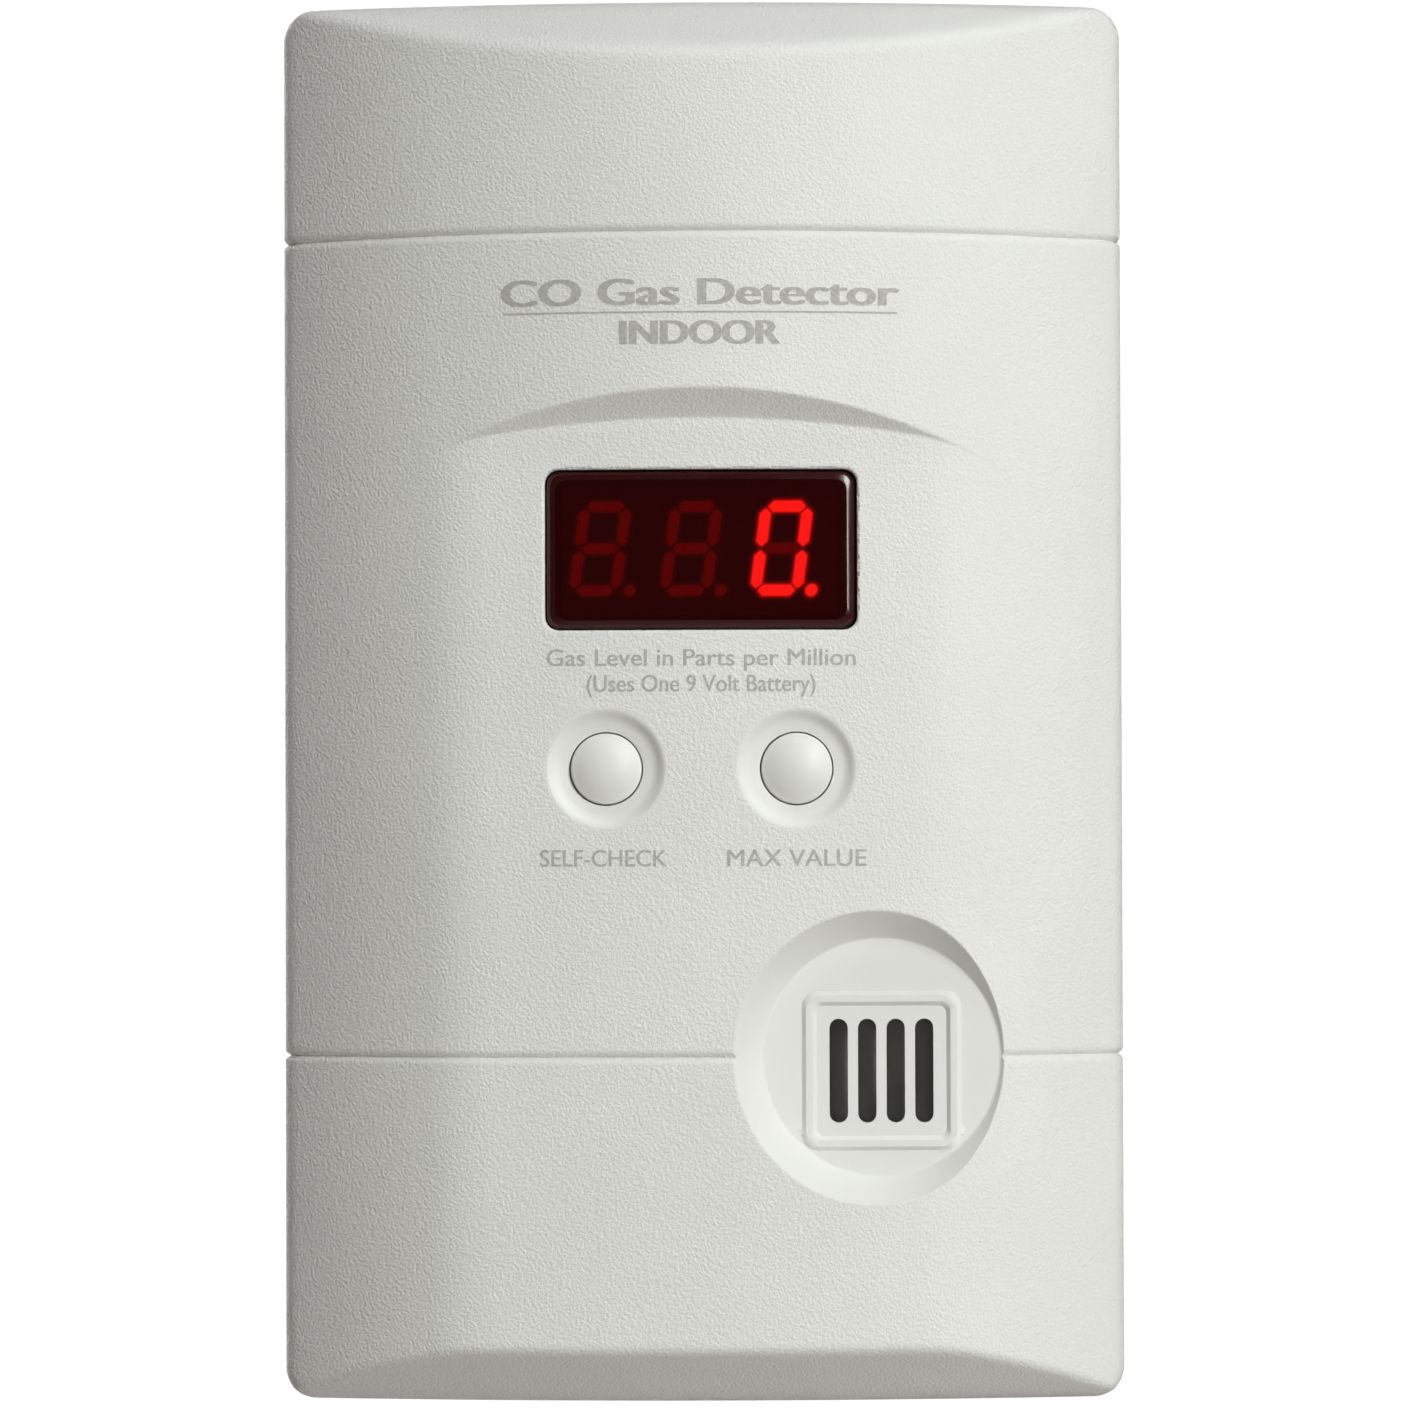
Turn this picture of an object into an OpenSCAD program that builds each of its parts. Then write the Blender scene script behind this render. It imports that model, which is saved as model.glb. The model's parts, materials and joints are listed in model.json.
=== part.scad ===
// Plug-in carbon monoxide alarm with a bowed face, a three-digit display, two buttons,
// a horn grille, a turning plug adapter and a backup battery.
// +Z is up, the face looks along -Y, and the wall plane is y = 0.

/* [Body] */
// Width of the housing
body_w = 92; // [88:0.2:96]
// Height of the housing
body_h = 152.4; // [150:0.2:160]
// Depth from the wall to the crown of the face
body_d = 43; // [42.6:0.2:46]
// Radius of the four corners seen from the front
corner_r = 3.4; // [2:0.2:5]
// Wall thickness of both covers
wall_t = 2.2; // [2:0.1:2.4]
// Depth of the back cover, from the wall to the seam
back_depth = 12; // [11:0.5:12.5]

/* [Face] */
// Radius of the bowed face
crown_r = 70; // [66:1:80]
// How far the middle of the flatter shelf lies below the crown
shelf_drop = 3.1; // [2.6:0.1:3.4]
// Radius of the shelf
shelf_r = 170; // [150:5:200]
// Height of the foot of the brow above the middle of the body
brow_z = 30.6; // [30:0.1:32]
// Radius of the foot of the brow
brow_r = 1000; // [600:50:1400]
// Heights of the two grooves that run round the face
groove_z = [50.6, -38.6];
// Width of a groove
groove_w = 1; // [0.6:0.1:1.4]
// Depth of a groove
groove_d = 0.6; // [0.3:0.1:0.8]

/* [Display and buttons] */
// Width of the display window
window_w = 33.8; // [33:0.1:34]
// Height of the display window
window_h = 17.4; // [17:0.1:18]
// Height of the window's centre
window_z = 16.3; // [16:0.1:17]
// Diameter of a button
button_d = 7.7; // [7.6:0.1:8]
// Distance between the two buttons
button_pitch = 20.6; // [20:0.1:21]
// Height of the buttons
button_z = -7.4; // [-8:0.1:-7]
// Travel of a button
button_travel = 0.6; // [0.3:0.1:0.8]

/* [Horn] */
// Sideways place of the horn recess
horn_x = 19.4; // [19:0.1:19.6]
// Height of the horn recess
horn_z = -38.7; // [-39:0.1:-38]
// Radius of the recess floor
horn_r = 12.95; // [12.5:0.05:13]
// Depth of the recess floor below the crown
horn_drop = 8; // [7.8:0.1:8.2]

/* [Plug and battery] */
// Radius of the turning plug adapter
adapter_r = 26; // [25:0.2:26.4]
// Height of the plug's axis
adapter_z = 34; // [33:0.5:35]
// Length of the blades beyond the wall plane
blade_l = 17.5; // [16:0.1:18]
// Height of the battery door's hinge
hinge_z = -47.3; // [-47.6:0.1:-47]

/* [Hidden] */
$fn = 64;

slack = 0.1;             // assembly gap between fixed pieces
half_w = body_w / 2;
half_h = body_h / 2;
big = 400;               // longer than any piece
back_chamfer = 1.2;      // chamfer round the wall side of the back cover
edge_r = 1.1;            // rounding where the face meets the sides

// End facets: the slope and the fall at the very end, at the top and at the bottom
top_facet = [54, 8.2, 140];      // angle, fall at the middle of the end edge, bulge radius
bottom_facet = [54, 11.1, 158];
horn_tilt = 2.5;                 // the horn floor turns with the face
horn_slope = 1.3;                // depth over width of the recess wall
slot_w = 2;
slot_h = 11.3;
slot_pitch = 3.1;
slot_count = 4;
grille_z = -1.5;                 // centre of the slots below the recess centre
frame_w = 17;                    // raised frame round the slots
frame_t = 1.3;
frame_rise = 0.5;
horn_case_r = 12.9;
horn_case_back = -22.2;
horn_case_front = -32.8;
horn_wall = 1.2;
horn_seat_r = 17;                // boss that holds the horn case
horn_seat_y = -27;
horn_cut = 4;                    // reach of the slots' cut to either side of the floor
disc_y = -30.4;                  // rear of the sounder disc
disc_t = 0.6;

dish_r = 6.4;                    // dish round each button
dish_depth = 1.1;
dish_foot = 0.3;                 // flat ring between the dish and the button hole
hole_r = button_d / 2 + 0.15;    // button hole
dome_r = 6.8;                    // dome of a button
dome_rise = 0.3;                 // how far a button stands proud of the shelf
guide_r = 7.4;                   // boss behind each button hole
guide_y = -36.4;
vent_count = 5;                  // slots low on each side
vent_pitch = 3;
vent_top = -56;
vent_y = -19;
vent_l = 8;
vent_w = 1.3;
open_y = -30;                    // openings in the face are cut back to here

board_y = -30.4;                 // front of the board
board_t = 1.6;
board_back = board_y + board_t;
board_w = 62;
board_top = 68;
board_low = -66;
board_post = [[-27, 60], [27, 60], [-27, -60], [27, -60]];
case_post = [[-38, 68], [38, 68], [-38, -68], [38, -68]];
board_post_r = 3;
board_pilot = 5;                 // depth of the board posts' pilot holes
case_post_r = 3.4;
case_pilot_y = -26;              // bottom of the case posts' pilot holes
pilot_r = 1.25;
screw_r = 1.2;
seat_y = -8;                     // where the case screws' heads bear
seat_post_r = 4.5;
head_hole_r = 3.3;
root_y = -1;                     // what stands on the back wall starts inside it
lip_t = 1;                       // lip of the back cover inside the front cover
lip_rise = 2;
lip_r = 1.2;

lens_sink = 0.35;                // how far the lens lies below the shelf
lens_back = -35.3;               // rear of the lens, where the display holder meets it
flange_t = 1.2;                  // thickness of the lens's seating flange
window_r = 1.5;                  // corner radius of the window
fit_gap = 0.15;                  // gap all round a piece that sits in an opening
module_w = 30.2;
module_h = 14;
module_face = -37.2;
digit_w = 5.7;
digit_h = 10.3;
digit_pitch = 9.85;
digit_shift = -1.1;
digit_rise = 0.2;                // how far the digits sit above the middle of the window
digit_slant = 7.5;
stroke = 1.2;
segment_rise = 0.08;
point_r = 0.65;
switch_top = -34.4;
flange_r = 5;
plunger_top = -36;
plunger_r = 1.7;

well_r = adapter_r + 0.3;
well_y = -18.5;                  // floor of the adapter's well
well_t = 1.8;
spigot_r = 4;
lead_r = 0.55;

box_half = 27;                   // battery compartment, half width
box_low = -46.5;
box_top = -19;
box_y = -19.7;                   // floor of the compartment
box_t = 1.5;
hinge_y = -1.3;
barrel_r = 1.3;
pin_r = 0.9;
lug_size = [4.2, 3.2, 4.4];      // lugs that hold the hinge pin
lug_x = 31;
rebate = 0.2;                    // gap round the door
door_half = 28.7;
door_top = -17.4;
door_t = 1.6;
battery_y = -10.6;               // middle of the battery's thickness
battery_z = -32.75;
battery_size = [46, 17.2, 26];
battery_left = -26.5;
terminal_l = 2.5;
snap_pitch = 12.7;               // between the two snaps
contact_t = 1.2;

keyhole_x = 24;
keyhole_z = -9;
keyhole_rise = 6.5;
keyhole_r = 4.2;                 // round entry
keyhole_slot = 2.1;              // half width of the slot above it
keyhole_box = [11, 16.5];        // raised block round each keyhole
keyhole_box_y = -8;
head_room = [8.8, 14.4];         // space behind the slot for a screw's head
head_room_y = -6.8;
keyhole_t = 3;                   // depth of the keyhole's opening
label_size = [60, 17];
label_z = -61.5;
label_t = 0.15;

sensor_at = [-14, -57.5];
sensor_r = 7.5;
sensor_back = -18.5;
cap_r = 6.8;
cap_t = 1.5;
chip_at = [8, -6];
chip_size = [18, 6.4];
chip_t = 3.2;
pin_pitch = 2.54;
capacitor_r = 4;
capacitor_l = 10.5;
blade_gap = 12.7;                // between the two blades, middle to middle
blade_t = 1.5;
blade_root = 5.5;                // length of a blade inside the adapter
clip_y = -20.5;
clip_t = 1;
clip_seat_r = 3.4;               // bottom of the groove that the clip grips

// ---- shapes of the face -------------------------------------------------

function crown_fall(x) = crown_r - sqrt(crown_r * crown_r - x * x);
function shelf_fall(x) = shelf_drop + shelf_r - sqrt(shelf_r * shelf_r - x * x);
function shelf_y(x) = -body_d + max(crown_fall(x), shelf_fall(x));

// Places a flat shape, drawn as seen from the front, between two depths
module plate(back, front) {
    translate([0, back, 0]) rotate([90, 0, 0]) linear_extrude(back - front) children();
}

module rounded(w, h, r) {
    square([w - 2 * r, h], center = true);
    square([w, h - 2 * r], center = true);
    for (x = [-1, 1], z = [-1, 1])
        translate([x * (w / 2 - r), z * (h / 2 - r)]) circle(r);
}

module frame_shape(w, h, t, r) {
    difference() {
        rounded(w, h, r);
        rounded(w - 2 * t, h - 2 * t, r / 2);
    }
}

// A round bar along Y, between two depths
module bar(x, z, r, back, front) {
    translate([x, back, z]) rotate([90, 0, 0]) cylinder(h = back - front, r = r);
}

// Cross-section of the housing at one height, inset by t: arcs across the face, straight
// sides, a rounded edge between them and a chamfer at the wall
module face_profile(t, shelf) {
    half = half_w - t;
    round_r = max(edge_r - t / 2, 0.3);
    chamfer = max(back_chamfer - t, 0.01);
    round_x = half - round_r;
    reach = crown_r - t - round_r;
    round_y = crown_r - body_d - sqrt(reach * reach - round_x * round_x);
    lean = asin(round_x / reach);
    steps = 5;
    edge = [for (i = [0:steps]) let (a = 90 - i * (90 - lean) / steps)
        [round_x + round_r * sin(a), round_y - round_r * cos(a)]];
    intersection() {
        translate([0, crown_r - body_d]) circle(crown_r - t, $fn = 360);
        if (shelf)
            translate([0, shelf_r + shelf_drop - body_d]) circle(shelf_r - t, $fn = 720);
        polygon(concat(
            [[0, -2 * body_d]],
            [for (i = [0:steps]) [-edge[steps - i][0], edge[steps - i][1]]],
            [[-half, -t - chamfer], [chamfer - half, -t], [half - chamfer, -t], [half, -t - chamfer]],
            edge));
    }
}

// Cone in front of the brow: everything inside it is cut down to the shelf
module brow_cone(t) {
    reach = 6;
    translate([0, -body_d + shelf_drop + reach / 2, brow_z - brow_r]) rotate([90, 0, 0])
        cylinder(h = reach + 2, r1 = brow_r + t * sqrt(2) - reach / 2,
            r2 = brow_r + t * sqrt(2) + reach / 2 + 2, $fn = 180);
}

// Bowed sloping end, as a tilted cylinder that the body lies inside
module end_facet(facet, t) {
    radius = facet[2] / cos(facet[0]);
    translate([0, facet[1] - body_d, half_h]) rotate([-facet[0], 0, 0])
        translate([0, radius, -big / 2]) cylinder(h = big, r = radius - t, $fn = 180);
}

// The whole housing as one solid, inset by t
module body_block(t) {
    height = body_h - 2 * t;
    chamfer = max(back_chamfer - t, 0.01);
    intersection() {
        union() {
            translate([0, 0, -height / 2]) linear_extrude(height) face_profile(t, true);
            difference() {
                translate([0, 0, -height / 2]) linear_extrude(height) face_profile(t, false);
                brow_cone(t);
            }
        }
        plate(0, -body_d - 1) rounded(body_w - 2 * t, height, max(corner_r - t, 1));
        translate([-body_w, 0, 0]) rotate([90, 0, 90]) linear_extrude(2 * body_w)
            polygon([[-body_d - 1, -height / 2], [-t - chamfer, -height / 2],
                [-t, chamfer - height / 2], [-t, height / 2 - chamfer],
                [-t - chamfer, height / 2], [-body_d - 1, height / 2]]);
        end_facet(top_facet, t);
        mirror([0, 0, 1]) end_facet(bottom_facet, t);
    }
}

module face_grooves() {
    difference() {
        for (z = groove_z)
            translate([0, -body_d / 2 - back_depth, z])
                cube([body_w + 4, body_d + 4, groove_w], center = true);
        body_block(groove_d);
    }
}

// Frame of the horn recess: its floor is at the origin and it opens along -Y
module at_horn() {
    translate([horn_x, horn_drop - body_d, horn_z]) rotate([0, 0, horn_tilt]) children();
}

module grille_slots() {
    for (i = [0:slot_count - 1])
        translate([(i - (slot_count - 1) / 2) * slot_pitch, grille_z]) {
            square([slot_w, slot_h - slot_w], center = true);
            for (end = [-1, 1]) translate([0, end * (slot_h - slot_w) / 2]) circle(slot_w / 2);
        }
}

module horn_recess() {
    depth = 10;
    at_horn() rotate([90, 0, 0])
        cylinder(h = depth, r1 = horn_r, r2 = horn_r + depth / horn_slope, $fn = 128);
}

module horn_frame() {
    at_horn() plate(0.3, -frame_rise) translate([0, grille_z])
        frame_shape(frame_w, frame_w, frame_t, 1.6);
}

module button_dish(x) {
    y = shelf_y(x);
    translate([x, y + dish_depth, button_z]) rotate([90, 0, 0])
        cylinder(h = 2 * dish_depth, r1 = hole_r + dish_foot, r2 = 2 * dish_r - hole_r - dish_foot);
}

module side_vents() {
    for (side = [-1, 1], i = [0:vent_count - 1])
        translate([side * half_w, vent_y, vent_top - vent_pitch * i])
            cube([6, vent_l, vent_w], center = true);
}

// ---- housing ------------------------------------------------------------

module front_cover() {
    color("white") difference() {
        union() {
            difference() {
                body_block(0);
                body_block(wall_t);
                face_grooves();
            }
            intersection() {
                body_block(wall_t / 2);
                union() {
                    bar(horn_x, horn_z, horn_seat_r, horn_seat_y, -body_d);
                    for (side = [-1, 1])
                        bar(side * button_pitch / 2, button_z, guide_r, guide_y, -body_d);
                    for (p = board_post) bar(p[0], p[1], board_post_r, board_y, -body_d);
                    for (p = case_post) bar(p[0], p[1], case_post_r, -back_depth, -body_d);
                }
            }
        }
        translate([0, big / 2 - back_depth, 0]) cube(big, center = true);
        horn_recess();
        bar(horn_x, horn_z, horn_case_r + slack, horn_case_back, horn_case_front - 2 * slack);
        at_horn() plate(horn_cut, -horn_cut) grille_slots();
        plate(open_y, -body_d - 1) translate([0, window_z]) rounded(window_w, window_h, window_r);
        for (side = [-1, 1]) {
            button_dish(side * button_pitch / 2);
            bar(side * button_pitch / 2, button_z, hole_r, open_y, -body_d);
        }
        for (p = board_post) bar(p[0], p[1], pilot_r, board_y + 1, board_y - board_pilot);
        for (p = case_post) bar(p[0], p[1], pilot_r, 1 - back_depth, case_pilot_y);
        side_vents();
    }
    color("white") horn_frame();
}

module keyhole(r_entry, r_slot) {
    circle(r_entry);
    translate([-r_slot, 0]) square([2 * r_slot, keyhole_rise]);
    translate([0, keyhole_rise]) circle(r_slot);
}

module back_cover() {
    seam = -back_depth;
    lip_w = body_w - 2 * wall_t - 2 * slack;
    lip_h = body_h - 2 * wall_t - 2 * slack;
    color("white") difference() {
        union() {
            intersection() {
                difference() {
                    body_block(0);
                    body_block(wall_t);
                }
                translate([0, big / 2 + seam, 0]) cube(big, center = true);
            }
            plate(seam + lip_rise / 2, seam - lip_rise)
                frame_shape(lip_w, lip_h, lip_t, lip_r);
            plate(seam + lip_rise, seam)
                frame_shape(lip_w + 2 * lip_t, lip_h + 2 * lip_t, 2 * lip_t, lip_r);
            bar(0, adapter_z, well_r + well_t, root_y, well_y - well_t);
            plate(root_y, box_y - box_t) translate([0, (box_low + box_top) / 2])
                square([2 * (box_half + box_t), box_top - box_low + 2 * box_t], center = true);
            for (p = case_post) bar(p[0], p[1], seat_post_r, root_y, seam);
            for (side = [-1, 1])
                plate(root_y, keyhole_box_y) translate([side * keyhole_x, keyhole_z + 2.5])
                    square(keyhole_box, center = true);
            for (side = [-1, 1])
                translate([side * lug_x, -2.1, hinge_z]) cube(lug_size, center = true);
        }
        // adapter well and its bearing
        bar(0, adapter_z, well_r, 1, well_y);
        bar(0, adapter_z, spigot_r + 0.08, 1, well_y - 3);
        // battery compartment, door rebate and hinge
        plate(1, box_y) translate([0, (box_low + box_top) / 2])
            square([2 * box_half, box_top - box_low], center = true);
        plate(1, -door_t - slack) translate([0, (hinge_z - 1.8 + door_top + rebate) / 2])
            square([2 * (door_half + rebate), door_top - hinge_z + 2], center = true);
        plate(1, hinge_y - barrel_r - 0.3) translate([0, hinge_z])
            square([2 * (door_half + rebate), 3.6], center = true);
        translate([-door_half - 1.7, hinge_y, hinge_z]) rotate([0, 90, 0])
            cylinder(h = 2 * door_half + 3.4, r = pin_r + 0.08);
        translate([0, 2.4, door_top + 1]) rotate([0, 90, 0]) cylinder(h = 14, r = 4, center = true);
        // keyholes with room behind them for the screw heads
        for (side = [-1, 1]) translate([side * keyhole_x, 0, keyhole_z]) {
            plate(1, -keyhole_t) keyhole(keyhole_r, keyhole_slot);
            plate(-2, head_room_y) translate([0, 2.5]) square(head_room, center = true);
        }
        // case screws
        for (p = case_post) {
            bar(p[0], p[1], head_hole_r, 1, seat_y);
            bar(p[0], p[1], screw_r + 0.4, 1, seam - 1);
        }
        plate(1, -label_t - 0.05) translate([0, label_z])
            rounded(label_size[0] + 0.4, label_size[1] + 0.4, 1.2);
    }
}

module pan_screw(x, z, head_y, length, head_r) {
    head_t = head_r * 0.75;
    difference() {
        union() {
            bar(x, z, head_r, head_y + head_t, head_y);
            bar(x, z, screw_r, head_y + 0.1, head_y - length);
        }
        for (turn = [0, 90])
            translate([x, head_y + head_t, z]) rotate([0, turn, 0])
                cube([head_r * 1.3, 1.6, head_r * 0.28], center = true);
    }
}

module cover_screws() {
    color("silver") for (p = case_post) pan_screw(p[0], p[1], seat_y, 16, 2.8);
}

module board_screws() {
    color("silver") for (p = board_post) pan_screw(p[0], p[1], board_back, 6, 2.4);
}

module rating_label() {
    color("gainsboro") plate(-0.05, -label_t - 0.05) translate([0, label_z])
        rounded(label_size[0], label_size[1], 1);
}

// ---- display and buttons ------------------------------------------------

module window_ring(outer_w, outer_h, inner_w, inner_h) {
    translate([0, window_z]) difference() {
        rounded(outer_w, outer_h, 1.1);
        rounded(inner_w, inner_h, 0.6);
    }
}

module display_lens() {
    pane_w = window_w - 2 * fit_gap;
    pane_h = window_h - 2 * fit_gap;
    pane_back = shelf_drop + 2 - body_d;
    color([0.15, 0, 0.01]) {
        intersection() {
            plate(pane_back, -body_d) translate([0, window_z]) rounded(pane_w, pane_h, window_r - fit_gap);
            translate([0, shelf_r + shelf_drop - body_d, 0])
                cylinder(h = 4 * window_h, r = shelf_r - lens_sink, center = true, $fn = 720);
        }
        plate(lens_back, pane_back) window_ring(pane_w, pane_h, module_w + 0.6, module_h + 0.6);
        plate(lens_back, lens_back - flange_t)
            window_ring(window_w + 3.8, window_h + 3.4, module_w + 0.6, module_h + 0.6);
    }
}

module display_holder() {
    color("black") plate(board_y, lens_back)
        window_ring(window_w + 3, window_h + 3, module_w + 0.8, module_h + 0.8);
}

module display_module() {
    color([0.1, 0.08, 0.08]) plate(board_y, module_face) translate([0, window_z])
        square([module_w, module_h], center = true);
}

// One bar of a digit, pointed at both ends, between two points and leaning with the digit
module segment(a, b) {
    along = (b - a) / norm(b - a);
    side = [-along[1], along[0]] * stroke / 2;
    tip = along * stroke / 2;
    points = [a, a + tip + side, b - tip + side, b, b - tip - side, a + tip - side];
    polygon([for (p = points) [p[0] + p[1] * tan(digit_slant), p[1]]]);
}

// The bars of one digit: 0 top, 1 and 2 right, 3 bottom, 4 and 5 left, 6 middle
module digit(bars) {
    w = (digit_w - stroke) / 2;
    h = (digit_h - stroke) / 2;
    gap = 0.18;
    corners = [[-w, h], [w, h], [w, 0], [w, -h], [-w, -h], [-w, 0]];
    ends = [[0, 1], [1, 2], [2, 3], [4, 3], [5, 4], [0, 5], [5, 2]];
    for (i = bars) {
        a = corners[ends[i][0]];
        b = corners[ends[i][1]];
        step = (b - a) / norm(b - a) * gap;
        segment(a + step, b - step);
    }
}

module point() {
    translate([digit_w / 2 + 0.35, (stroke - digit_h) / 2]) circle(point_r);
}

module on_digit(place) {
    translate([digit_shift + place * digit_pitch, window_z + digit_rise]) children();
}

module lit_segments() {
    color("red") plate(module_face, module_face - segment_rise) on_digit(1) {
        digit([0, 1, 2, 3, 4, 5]);
        point();
    }
}

module dark_segments() {
    color([0.25, 0, 0.02]) plate(module_face, module_face - segment_rise) {
        for (place = [-1, 0]) on_digit(place) {
            digit([0, 1, 2, 3, 4, 5, 6]);
            point();
        }
        on_digit(1) digit([6]);
    }
}

module display_pins() {
    color("silver") for (row = [-1, 1], i = [0:5])
        bar((i - 2.5) * pin_pitch, window_z + row * 2 * pin_pitch, 0.25, board_back + 1.5, board_back);
}

// A button stands at rest on its switch's plunger
module button(x) {
    top = shelf_y(x) - dome_rise;
    color("white") {
        intersection() {
            bar(x, button_z, button_d / 2, plunger_top, top);
            translate([x, top + dome_r, button_z]) sphere(dome_r, $fn = 96);
        }
        difference() {
            bar(x, button_z, flange_r, plunger_top + 0.6, plunger_top - 0.1);
            bar(x, button_z, plunger_r + 0.4, plunger_top + 1, plunger_top);
        }
    }
}

module test_button() { button(-button_pitch / 2); }
module peak_button() { button(button_pitch / 2); }

module switch_body(x) {
    color("dimgray") difference() {
        plate(board_y, switch_top) translate([x, button_z]) square(6, center = true);
        bar(x, button_z, plunger_r + 0.1, board_y - 1, -body_d);
    }
}

module switch_plunger(x) {
    color("saddlebrown") bar(x, button_z, plunger_r, board_y - 1 - button_travel - 0.2, plunger_top);
}

module test_switch() { switch_body(-button_pitch / 2); }
module peak_switch() { switch_body(button_pitch / 2); }
module test_plunger() { switch_plunger(-button_pitch / 2); }
module peak_plunger() { switch_plunger(button_pitch / 2); }

// ---- board and what is on it --------------------------------------------

module main_board() {
    color("darkgreen") plate(board_back, board_y) difference() {
        translate([-board_w / 2, board_low]) square([board_w, board_top - board_low]);
        translate([horn_x, horn_z]) circle(17.6);
        for (p = board_post) translate(p) circle(screw_r + 0.3);
        translate([0, adapter_z]) circle(3);
    }
}

module horn_case() {
    color([0.12, 0.11, 0.11]) difference() {
        bar(horn_x, horn_z, horn_case_r, horn_case_back, horn_case_front);
        bar(horn_x, horn_z, horn_case_r - horn_wall, horn_case_back - 1.8, horn_case_front - 0.2);
    }
}

module piezo_disc() {
    color("gray") bar(horn_x, horn_z, horn_case_r - horn_wall - slack, disc_y, disc_y - disc_t);
}

module horn_pins() {
    color("silver") for (side = [-1, 1])
        translate([horn_x + side * 5, -23.1, horn_z - 17]) cube([0.8, 0.5, 8.1], center = true);
}

module sensor_can() {
    color("silver") difference() {
        bar(sensor_at[0], sensor_at[1], sensor_r, sensor_back, board_back);
        bar(sensor_at[0], sensor_at[1], cap_r + slack, sensor_back + 0.5, sensor_back - 1);
    }
}

module sensor_cap() {
    color("white") difference() {
        bar(sensor_at[0], sensor_at[1], cap_r, sensor_back + 0.5, sensor_back - 1);
        bar(sensor_at[0], sensor_at[1], 1.2, sensor_back + cap_t, sensor_back - 0.5);
    }
}

module sensor_pins() {
    color("gold") for (x = [-4, 0, 4])
        bar(sensor_at[0] + x, sensor_at[1], 0.5, board_y, board_y - 2.5);
}

module microcontroller() {
    color([0.1, 0.1, 0.1]) plate(board_back + 0.4 + chip_t, board_back + 0.4) translate(chip_at)
        square(chip_size, center = true);
}

module chip_legs() {
    color("silver") for (row = [-1, 1], i = [0:6])
        translate([chip_at[0] + (i - 3) * pin_pitch, board_back + 1,
            chip_at[1] + row * (chip_size[1] + 0.8) / 2])
            cube([0.5, 2, 0.8], center = true);
}

module capacitors() {
    color("navy") for (z = [-1, -11])
        bar(-11, z, capacitor_r, board_back + capacitor_l, board_back);
}

module power_leads() {
    color("black") for (side = [-1, 1])
        bar(side * 1.1, adapter_z, lead_r, -17, board_back - 1.4);
}

// ---- plug adapter -------------------------------------------------------

module adapter_case() {
    color("white") difference() {
        union() {
            bar(0, adapter_z, adapter_r, -2, well_y + 0.3);
            bar(0, adapter_z, spigot_r, well_y + 1, -22.4);
        }
        bar(0, adapter_z, adapter_r - 1.8, -1, well_y + 2.3);
        bar(0, adapter_z, 2.8, -1, -23);
        difference() {
            bar(0, adapter_z, spigot_r + 1, clip_y + 0.05, clip_y - clip_t - 0.05);
            bar(0, adapter_z, clip_seat_r, clip_y + 0.5, clip_y - clip_t - 0.5);
        }
    }
}

module adapter_cover() {
    color("white") difference() {
        bar(0, adapter_z, adapter_r, 0, -2);
        plate(1, -3) translate([0, adapter_z])
            for (side = [-1, 1])
                translate([side * blade_gap / 2, 0]) square([blade_t + 0.2, 8.2], center = true);
        for (side = [-1, 1])
            translate([0, 3.5, adapter_z + side * 18]) sphere(5);
    }
}

module adapter_clip() {
    color("silver") plate(clip_y, clip_y - clip_t) translate([0, adapter_z]) difference() {
        circle(7);
        circle(clip_seat_r + 0.05);
        translate([0, -5]) square([5, 10], center = true);
    }
}

module blade(x, width) {
    tip = 1.5;
    hole_y = 11.9;
    color("gold") difference() {
        translate([x - blade_t / 2, 0, adapter_z]) rotate([90, 0, 90]) linear_extrude(blade_t)
            polygon([[-blade_root, -width / 2], [blade_l - tip, -width / 2],
                [blade_l, tip - width / 2], [blade_l, width / 2 - tip],
                [blade_l - tip, width / 2], [-blade_root, width / 2]]);
        translate([x, hole_y, adapter_z]) rotate([0, 90, 0]) cylinder(h = 4, r = 1.6, center = true);
    }
}

module live_blade() { blade(blade_gap / 2, 6.35); }
module neutral_blade() { blade(-blade_gap / 2, 7.9); }

module transformer_core() {
    color("dimgray") plate(-8.05, -13.85) translate([0, adapter_z]) difference() {
        square([28, 24], center = true);
        for (side = [-1, 1]) translate([side * 7.5, 0]) square([7, 15], center = true);
    }
}

module transformer_coil() {
    color("orange") difference() {
        plate(-6, -15.9) translate([0, adapter_z]) square([21, 14.6], center = true);
        plate(-7.9, -14) translate([0, adapter_z]) square([8.2, 20], center = true);
    }
}

// ---- battery ------------------------------------------------------------

module battery_door() {
    color("white") difference() {
        union() {
            plate(0, -door_t) translate([0, (hinge_z + door_top) / 2])
                square([2 * door_half, door_top - hinge_z], center = true);
            translate([-door_half, hinge_y, hinge_z]) rotate([0, 90, 0])
                cylinder(h = 2 * door_half, r = barrel_r);
            translate([-door_half - 1.5, hinge_y, hinge_z]) rotate([0, 90, 0])
                cylinder(h = 2 * door_half + 3, r = pin_r);
        }
        for (i = [0:3])
            translate([0, 0, door_top - 3 - 1.8 * i]) rotate([45, 0, 0])
                cube([14, 0.7, 0.7], center = true);
    }
}

module battery_case() {
    color("dimgray") translate([battery_left, battery_y - battery_size[1] / 2,
        battery_z - battery_size[2] / 2]) cube(battery_size);
}

module snap(z, r, length) {
    translate([battery_left + battery_size[0], battery_y, battery_z + z]) rotate([0, 90, 0])
        cylinder(h = length, r = r);
}

module battery_terminals() {
    color("silver") {
        snap(snap_pitch / 2, 2.9, terminal_l);
        snap(-snap_pitch / 2, 4, terminal_l);
    }
}

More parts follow.
